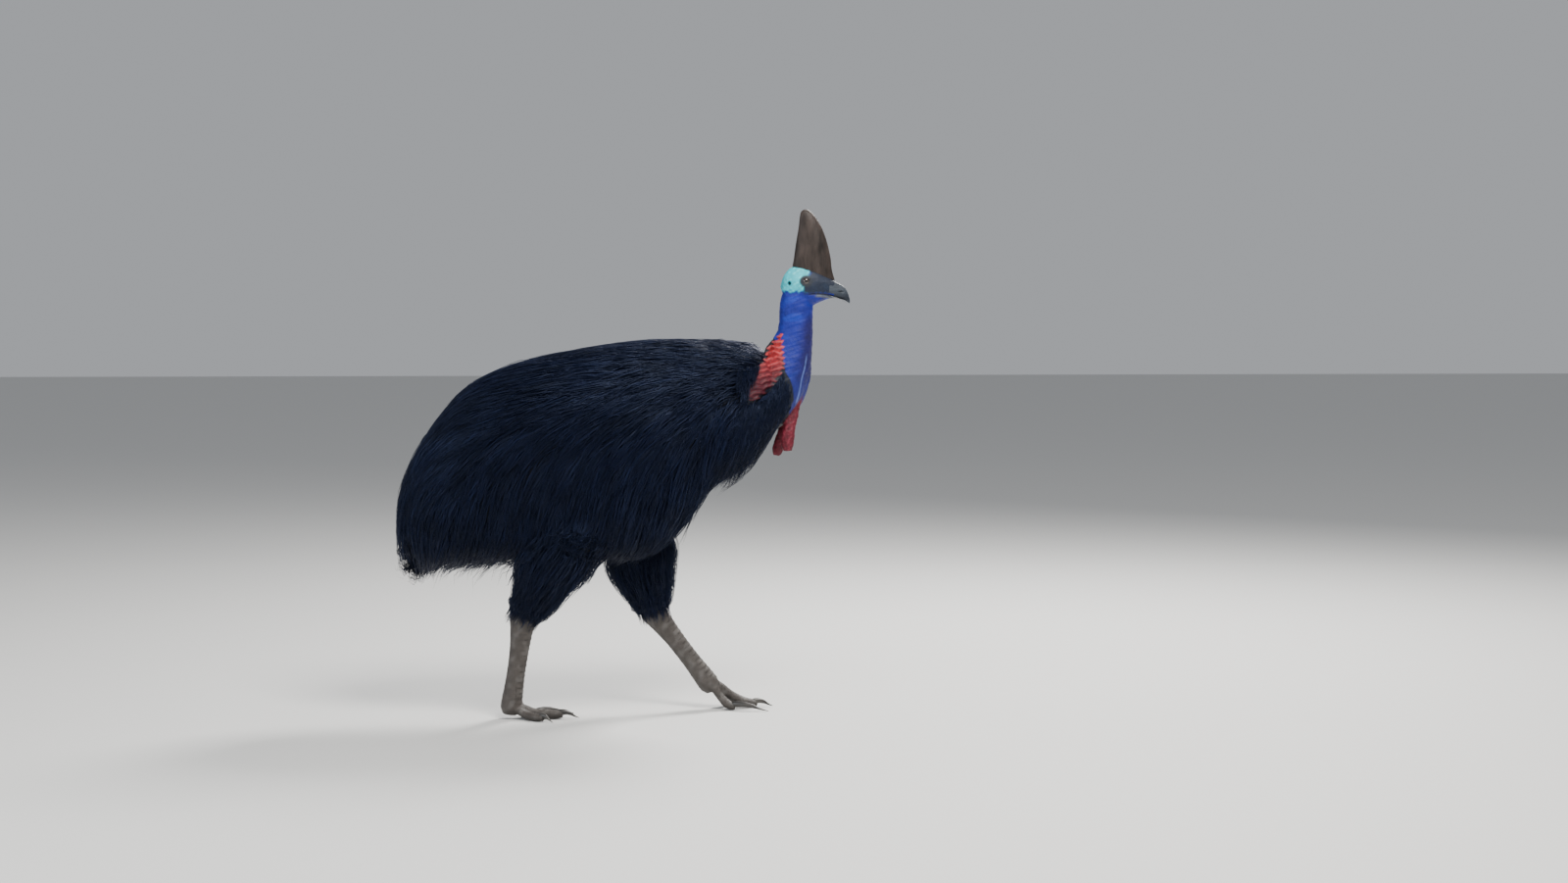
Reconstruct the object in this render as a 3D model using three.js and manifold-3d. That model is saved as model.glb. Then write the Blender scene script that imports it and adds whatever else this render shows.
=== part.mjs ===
// A walking southern cassowary, life size: a still model in millimetres, +X ahead, +Y to its left, +Z up.
// The bird is laid out from its floor line and its hip, then moved so that the origin is at the
// middle of its footprint.
import * as THREE from "three";
import { mergeVertices } from "three/addons/utils/BufferGeometryUtils.js";
import Module from "manifold-3d";

const wasm = await Module();
wasm.setup();

// Clearance that every pair of touching pieces keeps.
const SLIVER = 0.04;
const GAP = 0.35;
const SIDES = [
  { name: "R", sign: -1 },
  { name: "L", sign: 1 },
];

// Driving dimensions.
const TARSUS_LENGTH = 281;
const TARSUS_DEPTH = 31;
const TARSUS_HALF_WIDTH = 22;
const EYE_RADIUS = 14.5;
const MOUTH_GAP = 1.1;
const SHELL_SIDES = 24;
const CORE_DEPTH = { above: 15, below: 66, side: 30 };
const LOCK_ROWS = { first: -600, last: 490, step: 132 };
const LOCK_WIDTH = 92;
const ROOT_SINK = 11;
const SHANK_CORE = 8;
const SHANK_COAT = 27;
const SHANK_RISE = [-ROOT_SINK, 3, 8, 12];
const SHANK_TIERS = [
  { level: 0.34, count: 6, span: 0.36 },
  { level: 0.58, count: 6, span: 0.4 },
];
const LIFT = 6;
const NAPE_FOLDS = { count: 5, from: 0.24, to: 0.52, radius: 8 };
const BARE_PATCH = { at: { x: 480, z: 1098 }, length: 232, width: 74, lean: 1.12 };

// Small helpers on vectors and numbers.
const v3 = (x, y, z) => new THREE.Vector3(x, y, z);
const mix = THREE.MathUtils.lerp;
const clamp = THREE.MathUtils.clamp;

// The value of one named size at a distance along a list of stations, joined by a smooth curve.
function sizeAt(stations, key, at) {
  const last = stations.length - 1;
  const x = clamp(at, stations[0].x, stations[last].x);
  let i = 0;
  while (i < last - 1 && stations[i + 1].x < x) i += 1;
  const slope = (k) => {
    const a = stations[Math.max(0, k - 1)];
    const b = stations[Math.min(last, k + 1)];
    return (b[key] - a[key]) / (b.x - a.x);
  };
  const span = stations[i + 1].x - stations[i].x;
  const t = (x - stations[i].x) / span;
  const from = stations[i][key];
  const to = stations[i + 1][key];
  return (
    from * (1 + 2 * t) * (1 - t) ** 2 +
    slope(i) * span * t * (1 - t) ** 2 +
    to * t * t * (3 - 2 * t) +
    slope(i + 1) * span * t * t * (t - 1)
  );
}

// A closed surface through rings of points, with a fan at each end to a tip point.
function closedThroughRings(rings, startTip, endTip) {
  const around = rings[0].length;
  const points = [startTip, ...rings.flat(), endTip];
  const end = points.length - 1;
  const index = [];
  for (let j = 0; j < around; j += 1) {
    const next = (j + 1) % around;
    index.push(0, 1 + next, 1 + j);
    for (let i = 0; i < rings.length - 1; i += 1) {
      const a = 1 + i * around + j;
      const b = 1 + i * around + next;
      index.push(a, b, a + around, b, b + around, a + around);
    }
    const base = 1 + (rings.length - 1) * around;
    index.push(end, base + j, base + next);
  }
  return new THREE.BufferGeometry().setFromPoints(points).setIndex(index);
}

// A three.js geometry as a solid for joining and cutting, and back.
function solid(geometry) {
  const bare = new THREE.BufferGeometry()
    .setAttribute("position", geometry.getAttribute("position"))
    .setIndex(geometry.index);
  const merged = mergeVertices(bare, 1e-4);
  const made = new wasm.Manifold(
    new wasm.Mesh({
      numProp: 3,
      vertProperties: new Float32Array(merged.attributes.position.array),
      triVerts: new Uint32Array(merged.index.array),
    }),
  );
  if (made.volume() >= 0) return made;
  return solid(turnedInsideOut(merged));
}

function turnedInsideOut(geometry) {
  const index = Array.from(geometry.index.array);
  for (let i = 0; i < index.length; i += 3) {
    [index[i + 1], index[i + 2]] = [index[i + 2], index[i + 1]];
  }
  return geometry.clone().setIndex(index);
}

// Corners closer together than the sliver size become one, and triangles left with no area go.
function geometryOf(made) {
  const mesh = made.getMesh();
  const places = mesh.vertProperties;
  const same = Array.from({ length: places.length / 3 }, (_, i) => i);
  const first = (i) => (same[i] === i ? i : first(same[i]));
  const corner = (i) => v3(places[3 * i], places[3 * i + 1], places[3 * i + 2]);
  const triangles = [];
  for (let i = 0; i < mesh.triVerts.length; i += 3) triangles.push([...mesh.triVerts.slice(i, i + 3)]);
  for (const [a, b, c] of triangles) {
    for (const pair of [[a, b], [b, c], [c, a]]) {
      if (corner(pair[0]).distanceTo(corner(pair[1])) >= SLIVER) continue;
      const [p, q] = pair.map(first);
      same[Math.max(p, q)] = Math.min(p, q);
    }
  }
  const kept = triangles.map((t) => t.map(first)).filter(([a, b, c]) => a !== b && b !== c && c !== a);
  const bare = new THREE.BufferGeometry()
    .setAttribute("position", new THREE.BufferAttribute(places, 3))
    .setIndex(kept.flat());
  return mergeVertices(bare, 1e-5);
}

function largest(made) {
  const pieces = made.decompose();
  return pieces.reduce((a, b) => (b.volume() > a.volume() ? b : a));
}

function joined(list) {
  return wasm.Manifold.union(list);
}

function ball(centre, radius, detail = 16, stretch = v3(1, 1, 1)) {
  const geometry = new THREE.SphereGeometry(radius, detail, detail / 2);
  geometry.scale(stretch.x, stretch.y, stretch.z).translate(centre.x, centre.y, centre.z);
  geometry.deleteAttribute("normal");
  geometry.deleteAttribute("uv");
  return solid(geometry);
}

// A body whose sections stand upright across X: each station gives its top, bottom and half width.
function sectionRing(size, x, sides, grow, blunt) {
  const mid = (size.top + size.bottom) / 2;
  const half = (size.top - size.bottom) / 2 + grow;
  const side = size.side + grow;
  const ring = [];
  for (let j = 0; j < sides; j += 1) {
    const turn = (2 * Math.PI * j) / sides;
    const power = 2 / (Math.sin(turn) < 0 ? blunt.below : blunt.above);
    const y = side * Math.sign(Math.cos(turn)) * Math.abs(Math.cos(turn)) ** power;
    const z = half * Math.sign(Math.sin(turn)) * Math.abs(Math.sin(turn)) ** power;
    ring.push(v3(x, y, mid + z));
  }
  return ring;
}

function uprightLoft(stations, { steps, sides = SHELL_SIDES, grow = 0, blunt = ROUND, ends = 3 }) {
  const first = stations[0].x;
  const last = stations[stations.length - 1].x;
  const rings = [];
  for (let i = 0; i <= steps; i += 1) {
    // Steps crowd towards the two ends, where the outline turns fastest.
    const even = i / steps;
    const x = mix(first, last, mix(even, (1 - Math.cos(Math.PI * even)) / 2, 0.65));
    const size = {};
    for (const key of ["top", "bottom", "side"]) size[key] = sizeAt(stations, key, x);
    rings.push(sectionRing(size, x, sides, grow, blunt));
  }
  const tip = (ring, reach) => {
    const middle = ring.reduce((sum, p) => sum.add(p), v3(0, 0, 0)).divideScalar(ring.length);
    return middle.add(v3(reach, 0, 0));
  };
  const startTip = tip(rings[0], -ends - grow);
  const endTip = tip(rings[rings.length - 1], ends + grow);
  return solid(closedThroughRings(rings, startTip, endTip));
}
const ROUND = { above: 2.1, below: 2.1 };

// A limb along a curve: each station gives its place and its half sizes ahead, behind and to the side.
function limb(stations, { steps, sides = 16, grow = 0, across = v3(0, 1, 0), roundness = 2.1 }) {
  const path = new THREE.CatmullRomCurve3(stations.map((s) => v3(...s.at)));
  const sizes = new THREE.CatmullRomCurve3(
    stations.map((s) => v3(s.ahead, s.behind, s.side)),
    false,
    "catmullrom",
    0.5,
  );
  const rings = [];
  for (let i = 0; i <= steps; i += 1) {
    const t = i / steps;
    const size = sizes.getPoint(t);
    const along = path.getTangent(t);
    const forward = new THREE.Vector3().crossVectors(across, along).normalize().negate();
    const ring = [];
    for (let j = 0; j < sides; j += 1) {
      const turn = (2 * Math.PI * j) / sides;
      const power = 2 / roundness;
      const c = Math.sign(Math.cos(turn)) * Math.abs(Math.cos(turn)) ** power;
      const s = Math.sign(Math.sin(turn)) * Math.abs(Math.sin(turn)) ** power;
      const reach = (s > 0 ? size.x : size.y) + grow;
      ring.push(
        path
          .getPoint(t)
          .addScaledVector(across, c * (size.z + grow))
          .addScaledVector(forward, s * reach),
      );
    }
    rings.push(ring);
  }
  const startTip = path.getPoint(0).addScaledVector(path.getTangent(0), -1 - grow);
  const endTip = path.getPoint(1).addScaledVector(path.getTangent(1), 1 + grow);
  return solid(closedThroughRings(rings, startTip, endTip));
}

// Points over a limb's surface, by share of its length, turn around it and height above it.
function overLimb(stations, across = v3(0, 1, 0)) {
  const path = new THREE.CatmullRomCurve3(stations.map((s) => v3(...s.at)));
  const halves = stations.map((s) => v3(s.ahead, s.behind, s.side));
  const sizes = new THREE.CatmullRomCurve3(halves, false, "catmullrom", 0.5);
  return (share, turn, rise) => {
    const t = clamp(share, 0, 1);
    const along = path.getTangent(t);
    const forward = new THREE.Vector3().crossVectors(across, along).normalize().negate();
    const size = sizes.getPoint(t);
    const c = Math.cos(turn);
    const s = Math.sin(turn);
    const out = v3(0, 0, 0).addScaledVector(across, c).addScaledVector(forward, s).normalize();
    const at = path.getPoint(t);
    at.addScaledVector(across, c * (size.z + rise));
    at.addScaledVector(forward, s * ((s > 0 ? size.x : size.y) + rise));
    return { at, out, along };
  };
}

// The two halves of a solid on either side of a plane, with the clearance between them.
function partedBy(made, normal, offset) {
  const n = normal.clone().normalize();
  const ahead = made.trimByPlane([n.x, n.y, n.z], offset + GAP / 2);
  const behind = made.trimByPlane([-n.x, -n.y, -n.z], -offset + GAP / 2);
  return [largest(behind), largest(ahead)];
}

// The coat's outer shape, out to its tips, from the rump to the breast.
const COAT = [
  { x: -668, top: 640, bottom: 530, side: 26 },
  { x: -652, top: 735, bottom: 478, side: 82 },
  { x: -600, top: 848, bottom: 462, side: 130 },
  { x: -526, top: 957, bottom: 457, side: 162 },
  { x: -437, top: 1048, bottom: 456, side: 187 },
  { x: -295, top: 1114, bottom: 460, side: 212 },
  { x: -150, top: 1148, bottom: 464, side: 223 },
  { x: 0, top: 1174, bottom: 462, side: 226 },
  { x: 110, top: 1186, bottom: 472, side: 222 },
  { x: 208, top: 1189, bottom: 534, side: 208 },
  { x: 323, top: 1184, bottom: 688, side: 182 },
  { x: 421, top: 1176, bottom: 756, side: 148 },
  { x: 489, top: 1156, bottom: 850, side: 112 },
  { x: 530, top: 1108, bottom: 926, side: 84 },
  { x: 560, top: 1064, bottom: 970, side: 52 },
  { x: 572, top: 1036, bottom: 990, side: 22 },
];
const HANGING = { above: 2.1, below: 2.7 };
// The slanting plane that parts the tail from the torso.
const TAIL_CUT = { normal: v3(0.64, 0, 0.77), offset: 372 };

// The neck rises from the breast, with a loose fold down its throat.
const NECK = [
  { at: [430, 0, 925], ahead: 62, behind: 70, side: 78 },
  { at: [488, 0, 985], ahead: 86, behind: 88, side: 86 },
  { at: [534, 0, 1055], ahead: 82, behind: 84, side: 72 },
  { at: [564, 0, 1128], ahead: 66, behind: 70, side: 55 },
  { at: [579, 0, 1190], ahead: 57, behind: 57, side: 44 },
  { at: [583, 0, 1240], ahead: 53, behind: 53, side: 39 },
  { at: [584, 0, 1300], ahead: 50, behind: 53, side: 36 },
  { at: [590, 0, 1345], ahead: 40, behind: 44, side: 30 },
];
const THROAT_FOLD = [
  { at: [588, 0, 1150], ahead: 40, behind: 30, side: 20 },
  { at: [592, 0, 1085], ahead: 40, behind: 34, side: 26 },
  { at: [588, 0, 1030], ahead: 32, behind: 30, side: 25 },
  { at: [582, 0, 990], ahead: 22, behind: 20, side: 21 },
  { at: [577, 0, 972], ahead: 12, behind: 12, side: 12 },
];
const NECK_CUT = { normal: v3(0.15, 0, 0.99), offset: 1250 };

// The head's own outline, under the casque and behind the bill.
const HEAD = [
  { x: 537, top: 1362, bottom: 1342, side: 5 },
  { x: 546, top: 1387, bottom: 1318, side: 21 },
  { x: 567, top: 1410, bottom: 1298, side: 32 },
  { x: 597, top: 1415, bottom: 1288, side: 36 },
  { x: 627, top: 1409, bottom: 1289, side: 35 },
  { x: 655, top: 1399, bottom: 1301, side: 30 },
  { x: 682, top: 1384, bottom: 1312, side: 22 },
  { x: 704, top: 1371, bottom: 1315, side: 16 },
];
const BILL_START = 687;
const BILL = [
  { x: BILL_START, top: 1381, bottom: 1312, side: 21 },
  { x: 704, top: 1370, bottom: 1314, side: 16.5 },
  { x: 720, top: 1361, bottom: 1313, side: 12.5 },
  { x: 736, top: 1350, bottom: 1309, side: 9.5 },
  { x: 746, top: 1335, bottom: 1303, side: 6.5 },
  { x: 753, top: 1314, bottom: 1298, side: 2.5 },
];
const MOUTH = { gape: v3(618, 0, 1325), bend: v3(688, 0, 1337), tip: v3(752, 0, 1297) };
const EYE = v3(613, 23, 1368);
const EAR = v3(560, 31, 1361);
const NOSTRIL = v3(725, 12, 1335);

// The casque leans back, and its blade narrows to the top.
const CASQUE = [
  { z: 1372, back: 590, front: 706, side: 15 },
  { z: 1404, back: 573, front: 697, side: 19 },
  { z: 1440, back: 577, front: 693, side: 19 },
  { z: 1490, back: 584, front: 682, side: 17 },
  { z: 1537, back: 592, front: 665, side: 14 },
  { z: 1570, back: 596, front: 645, side: 11 },
  { z: 1586, back: 600, front: 631, side: 7.5 },
  { z: 1592, back: 607, front: 622, side: 3.5 },
];
const CASQUE_LEAN = 7;

function casqueBlade(grow = 0) {
  const sides = 20;
  const rings = CASQUE.map(({ z, back, front, side }) => {
    const rise = (z - CASQUE[0].z) / (CASQUE[CASQUE.length - 1].z - CASQUE[0].z);
    return Array.from({ length: sides }, (_, j) => {
      const turn = (2 * Math.PI * j) / sides;
      const c = Math.cos(turn);
      const s = Math.sin(turn);
      const x = (front + back) / 2 + ((front - back) / 2 + grow) * Math.sign(c) * Math.abs(c) ** 0.9;
      // The leading edge is a narrow keel and the trailing edge is blunt.
      const y = (side + grow) * Math.sign(s) * Math.abs(s) ** (c > 0 ? 1.25 : 0.85);
      return v3(x, y + CASQUE_LEAN * rise * rise, z);
    });
  });
  const top = CASQUE[CASQUE.length - 1];
  const startTip = v3(648, 0, CASQUE[0].z - 1 - grow);
  const endTip = v3((top.front + top.back) / 2, CASQUE_LEAN, top.z + 2 + grow);
  return solid(closedThroughRings(rings, startTip, endTip));
}

// Two flat lobes hang from the fold at the foot of the neck, and the left one swings back.
const WATTLES = {
  R: [
    { x: 594, z: 1014, half: 11 },
    { x: 584, z: 985, half: 13 },
    { x: 573, z: 950, half: 17 },
    { x: 563, z: 917, half: 19 },
    { x: 557, z: 886, half: 20 },
    { x: 555, z: 856, half: 19 },
    { x: 555, z: 836, half: 13 },
  ],
  L: [
    { x: 590, z: 1010, half: 11 },
    { x: 577, z: 975, half: 12 },
    { x: 562, z: 937, half: 15 },
    { x: 548, z: 898, half: 18 },
    { x: 536, z: 860, half: 19 },
    { x: 527, z: 832, half: 17 },
    { x: 524, z: 817, half: 11 },
  ],
};

function wattle(sign, grow = 0) {
  const lobe = WATTLES[sign < 0 ? "R" : "L"];
  const stations = lobe.map(({ x, z, half }, i) => ({
    at: [x, sign * mix(13, 36, Math.min(1, i / 4)), z],
    ahead: half,
    behind: half,
    side: half * mix(0.62, 0.52, i / (lobe.length - 1)),
  }));
  return limb(stations, { steps: 10, sides: 10, grow });
}

// Locks hang down a shank in tiers, from the flank to just over the hock.
function shankLocks(leg, seed) {
  const draw = drawsFrom(seed);
  const surface = overLimb(shankStations(leg, SHANK_CORE));
  const made = [];
  SHANK_TIERS.forEach(({ level, count, span }, tier) => {
    for (let j = 0; j < count; j += 1) {
      const turn = (2 * Math.PI * (j + tier / 2)) / count + draw(-0.1, 0.1);
      const start = level + draw(-0.02, 0.02);
      const spine = SHARES.map((share, i) => {
        return { ...surface(start + (span * i) / (SHARES.length - 1), turn, SHANK_RISE[i]), share };
      });
      made.push(lock(spine, { width: draw(48, 60) * (1 - tier * 0.15), thick: draw(7, 9) }));
    }
  });
  return made;
}

// Overlapping plates down the front of a tarsus or over the top of a toe.
function scutes(stations, { from, to, count, width, thick, across }, grow = 0) {
  const surface = overLimb(stations, across);
  const span = (to - from) / count;
  const made = [];
  for (let i = 0; i < count; i += 1) {
    const spine = [0.8, 1, 0].map((share, j) => {
      const at = from + span * (i + j * 0.62);
      return { ...surface(at, Math.PI / 2, [-thick * 0.5, thick * 0.05, thick * 0.2][j]), share };
    });
    made.push(lock(spine, { width, thick, grow }));
  }
  return made;
}

// The legs: the right one stands and trails, and the left one reaches ahead on its toes.
const LEGS = {
  R: {
    knee: v3(-82, -118, 640),
    calf: v3(-192, -94, 470),
    hock: v3(-272, -62, 320),
    ankle: v3(-313, -52, 46),
    splay: -6,
    heel: 0,
  },
  L: {
    knee: v3(70, 116, 640),
    calf: v3(104, 108, 450),
    hock: v3(136, 98, 314),
    ankle: v3(305, 92, 90),
    splay: 6,
    heel: 1,
  },
};

function shankStations(leg, coat) {
  const thigh = leg.knee.clone().lerp(leg.calf, 0.5);
  const low = leg.calf.clone().lerp(leg.hock, 0.6);
  const cuff = leg.calf.clone().lerp(leg.hock, 0.86);
  const thin = coat * 0.7;
  return [
    { at: leg.knee.toArray(), ahead: 92, behind: 92, side: 70 },
    { at: thigh.toArray(), ahead: 98 + coat, behind: 98 + coat, side: 76 + coat },
    { at: leg.calf.toArray(), ahead: 78 + coat, behind: 88 + coat, side: 64 + coat },
    { at: low.toArray(), ahead: 50 + thin, behind: 50 + thin, side: 40 + thin },
    { at: cuff.toArray(), ahead: 38, behind: 40, side: 30 },
    { at: leg.hock.toArray(), ahead: 36, behind: 40, side: 29 },
  ];
}

function shank(leg, grow = 0, coat = 0) {
  return limb(shankStations(leg, coat), { steps: 10, sides: 16, grow });
}

function tarsusStations(leg) {
  const point = (t, shift = 0) => {
    const p = leg.hock.clone().lerp(leg.ankle, t);
    return [p.x + shift, p.y, p.z];
  };
  const d = TARSUS_DEPTH;
  const w = TARSUS_HALF_WIDTH;
  return [
    { at: point(-0.1), ahead: d, behind: d, side: w },
    { at: point(0), ahead: d + 8, behind: d + 12, side: w + 8 },
    { at: point(0.16), ahead: d + 3, behind: d + 6, side: w + 3 },
    { at: point(0.4), ahead: d - 1, behind: d - 1, side: w - 2 },
    { at: point(0.7), ahead: d - 2, behind: d - 2, side: w - 1 },
    { at: point(0.92), ahead: d + 1, behind: d + 1, side: w + 7 },
    { at: point(1.04), ahead: d + 1, behind: d + 2, side: w + 10 },
    { at: point(1.12), ahead: d - 10, behind: d - 8, side: w - 2 },
  ];
}

const TARSUS_SCUTES = { from: 0.3, to: 0.8, count: 5, width: 32, thick: 9 };
const TOE_SCUTES = { from: 0.46, to: 0.84, count: 1, thick: 6 };

function tarsus(leg, grow = 0) {
  const stations = tarsusStations(leg);
  const smooth = limb(stations, { steps: 12, sides: 12, grow });
  return joined([smooth, ...scutes(stations, TARSUS_SCUTES, grow)]);
}

// Toes: inner, middle and outer, each with its turn from straight ahead and its own claw.
const TOES = [
  { name: "inner", turn: 27, length: 74, width: 15, height: 30, claw: 112, clawRadius: 9.5 },
  { name: "middle", turn: 0, length: 142, width: 18, height: 33, claw: 50, clawRadius: 9 },
  { name: "outer", turn: -29, length: 104, width: 15, height: 28, claw: 36, clawRadius: 8 },
];

function toeFrame(leg, sign, toe) {
  // The inner toe points towards the bird's middle line.
  const turn = THREE.MathUtils.degToRad(leg.splay - sign * toe.turn);
  const along = v3(Math.cos(turn), Math.sin(turn), 0);
  const across = v3(-Math.sin(turn), Math.cos(turn), 0);
  return { along, across };
}

function toeStations(leg, sign, toe) {
  const { along } = toeFrame(leg, sign, toe);
  const start = leg.ankle;
  const high = start.z;
  const flat = toe.height / 2 - 2;
  const drop = [1, leg.heel ? 0.78 : 0.5, leg.heel ? 0.4 : 0.12, leg.heel ? 0.1 : 0, 0, 0];
  const reach = [-0.02, 0.22, 0.46, 0.7, 0.9, 1];
  const thick = [0.82, 0.94, 0.84, 0.94, 0.82, 0.62];
  return reach.map((r, i) => {
    const p = start.clone().addScaledVector(along, r * (toe.length + 20));
    p.z = mix(flat, high, drop[i]);
    return {
      at: p.toArray(),
      ahead: (toe.height / 2) * thick[i],
      behind: (toe.height / 2) * thick[i],
      side: toe.width * thick[i] * 1.06,
    };
  });
}

const floorCut = (made) => made.trimByPlane([0, 0, 1], 0);

function toeShape(leg, sign, toe, grow = 0) {
  const { across } = toeFrame(leg, sign, toe);
  return limb(toeStations(leg, sign, toe), { steps: 8, sides: 8, grow, across });
}

function toeWithScutes(leg, sign, toe, grow = 0) {
  const { across } = toeFrame(leg, sign, toe);
  const sizes = { ...TOE_SCUTES, width: toe.width * 1.3, across };
  return joined([toeShape(leg, sign, toe, grow), ...scutes(toeStations(leg, sign, toe), sizes, grow)]);
}

function clawShape(leg, sign, toe, grow = 0) {
  const { along, across } = toeFrame(leg, sign, toe);
  const stations = toeStations(leg, sign, toe);
  const root = v3(...stations[stations.length - 1].at);
  const r = toe.clawRadius;
  const sizes = [1, 1.05, 0.86, 0.6, 0.3, 0.1];
  const points = sizes.map((size, i) => {
    const t = i / (sizes.length - 1);
    const p = root.clone().addScaledVector(along, mix(-16, toe.claw, t));
    const arch = Math.sin(Math.PI * Math.min(1, t * 1.25)) * 5 - 14 * t * t;
    p.z = Math.max(root.z + 4 + arch, r * size * 0.6 + 1.4);
    return { at: p.toArray(), ahead: r * size, behind: r * size, side: r * size * 0.86 };
  });
  return limb(points, { steps: 6, sides: 6, grow, across });
}

// The body under the coat: the same stations drawn in by the depth of the locks.
const CORE = [
  { x: -622, top: 752, bottom: 575, side: 48 },
  ...COAT.filter((s) => s.side > 100).map((s) => ({
    x: s.x,
    top: s.top - CORE_DEPTH.above,
    bottom: s.bottom + CORE_DEPTH.below,
    side: s.side - CORE_DEPTH.side,
  })),
  { x: 528, top: 1082, bottom: 952, side: 54 },
];
const torsoCore = () => uprightLoft(CORE, { steps: 18, sides: 18, blunt: HANGING });

// How far out a point lies in the section of a body: 1 is on its surface.
function reachIn(stations, p) {
  const top = sizeAt(stations, "top", p.x);
  const bottom = sizeAt(stations, "bottom", p.x);
  const mid = (top + bottom) / 2;
  const power = p.z < mid ? HANGING.below : HANGING.above;
  const across = Math.abs(p.y / sizeAt(stations, "side", p.x)) ** power;
  const upright = Math.abs((p.z - mid) / ((top - bottom) / 2)) ** power;
  return (across + upright) ** (1 / power);
}

function middleHeight(stations, x) {
  return (sizeAt(stations, "top", x) + sizeAt(stations, "bottom", x)) / 2;
}

// The way out of the coat's surface at a point, from how the reach changes around it.
function wayOut(stations, p) {
  const step = 4;
  const change = ["x", "y", "z"].map((axis) => {
    const ahead = p.clone();
    const behind = p.clone();
    ahead[axis] += step;
    behind[axis] -= step;
    return reachIn(stations, ahead) - reachIn(stations, behind);
  });
  return v3(...change).normalize();
}

// The coat lies backward along the back and falls ever more steeply down the sides and rump.
function lieAt(p) {
  const top = sizeAt(COAT, "top", p.x);
  const mid = middleHeight(COAT, p.x);
  const down = THREE.MathUtils.smoothstep((top - p.z) / (top - mid), 0, 1.5);
  const rump = clamp((-430 - p.x) / 200, 0, 1);
  const fall = THREE.MathUtils.degToRad(mix(10, 74, Math.max(down, rump * 0.8)));
  const along = v3(-Math.cos(fall), 0, -Math.sin(fall));
  const out = wayOut(COAT, p);
  return along.addScaledVector(out, -along.dot(out)).normalize();
}

// A flat tapered lock through points on the coat, each with its way out, broad at a third of its length.
function lock(spine, { width, thick, grow = 0 }) {
  const rings = spine.slice(0, -1).map(({ at, out, along, share }) => {
    const across = new THREE.Vector3().crossVectors(out, along).normalize();
    const w = (width / 2) * share + grow;
    const h = (thick / 2) * mix(1, 0.45, 1 - share) + grow;
    return [
      at.clone().addScaledVector(across, w),
      at.clone().addScaledVector(out, h),
      at.clone().addScaledVector(across, -w),
      at.clone().addScaledVector(out, -h),
    ];
  });
  const tip = spine[spine.length - 1];
  const start = spine[0].at.clone().addScaledVector(spine[0].along, -2 - grow);
  return solid(closedThroughRings(rings, start, tip.at.clone().addScaledVector(tip.along, grow)));
}

// The spine of one lock of the coat, from a root under the core's skin to a tip at the coat's surface.
const SHARES = [0.55, 1, 0.7, 0];
function coatSpine(root, length, sway) {
  const steps = 12;
  const spine = [];
  let p = root.clone();
  for (let i = 0; i <= steps; i += 1) {
    const t = i / steps;
    const along = lieAt(p).applyAxisAngle(wayOut(COAT, p), sway * (1 - t));
    if (i % 4 === 0) {
      const at = i === 0 ? p.clone().addScaledVector(wayOut(CORE, p), -ROOT_SINK) : p.clone();
      spine.push({ at, out: wayOut(COAT, p), along, share: SHARES[i / 4] });
    }
    const next = p.clone().addScaledVector(along, length / steps);
    // Each step is drawn to its own depth between the core and the tips.
    const mid = v3(next.x, 0, middleHeight(COAT, next.x));
    const outer = reachIn(COAT, next);
    const core = clamp(outer / Math.max(reachIn(CORE, next), 1e-3), 0.4, 1);
    const wanted = mix(core, 0.985, ((i + 1) / steps) ** 0.8) + LIFT / 240;
    const free = next.z < sizeAt(CORE, "bottom", next.x) || next.x < CORE[0].x;
    const target = free ? Math.min(outer, 0.99) : Math.min(wanted, 0.99);
    p = mid.add(next.sub(mid).multiplyScalar(target / outer));
  }
  return spine;
}

// Repeatable random draws between two values.
function drawsFrom(seed) {
  let state = seed;
  return (low, high) => {
    state = (state * 1664525 + 1013904223) % 4294967296;
    return mix(low, high, state / 4294967296);
  };
}

// The bare red patch on each side of the nape, as seen from the side.
function inBarePatch(p, margin = 0) {
  const dx = p.x - BARE_PATCH.at.x;
  const dz = p.z - BARE_PATCH.at.z;
  const c = Math.cos(BARE_PATCH.lean);
  const s = Math.sin(BARE_PATCH.lean);
  const long = (dx * c + dz * s) / (BARE_PATCH.length / 2 + margin);
  const wide = (dz * c - dx * s) / (BARE_PATCH.width / 2 + margin);
  return long * long + wide * wide < 1;
}

function barePatchCut(sign, inset = 0) {
  const outline = new THREE.Shape();
  const long = BARE_PATCH.length / 2 - inset;
  const wide = BARE_PATCH.width / 2 - inset;
  outline.absellipse(0, 0, long, wide, 0, 2 * Math.PI, false, BARE_PATCH.lean);
  const deep = { depth: 160 - inset, bevelEnabled: false, curveSegments: 9 };
  const geometry = new THREE.ExtrudeGeometry(outline, deep);
  geometry.rotateX(Math.PI / 2);
  geometry.translate(BARE_PATCH.at.x, sign > 0 ? 200 : -40 - inset, BARE_PATCH.at.z);
  geometry.deleteAttribute("normal");
  geometry.deleteAttribute("uv");
  return solid(geometry);
}

// The bare red skin of the nape: raised folds run down and forward over it.
function nape(sign) {
  const surface = overLimb(NECK);
  const folds = [];
  for (let i = 0; i < NAPE_FOLDS.count; i += 1) {
    const level = mix(NAPE_FOLDS.from, NAPE_FOLDS.to, i / (NAPE_FOLDS.count - 1));
    const stations = [1.45, 0.95, 0.5, 0.05].map((turn, j) => {
      const { at } = surface(level - 0.035 * j, sign > 0 ? turn : Math.PI - turn, -1);
      const r = NAPE_FOLDS.radius;
      return { at: at.toArray(), ahead: r, behind: r, side: r };
    });
    folds.push(limb(stations, { steps: 5, sides: 6, across: v3(0.5, 0, 0.86) }));
  }
  return joined([neckForm(), ...folds]).intersect(barePatchCut(sign, GAP));
}

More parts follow.
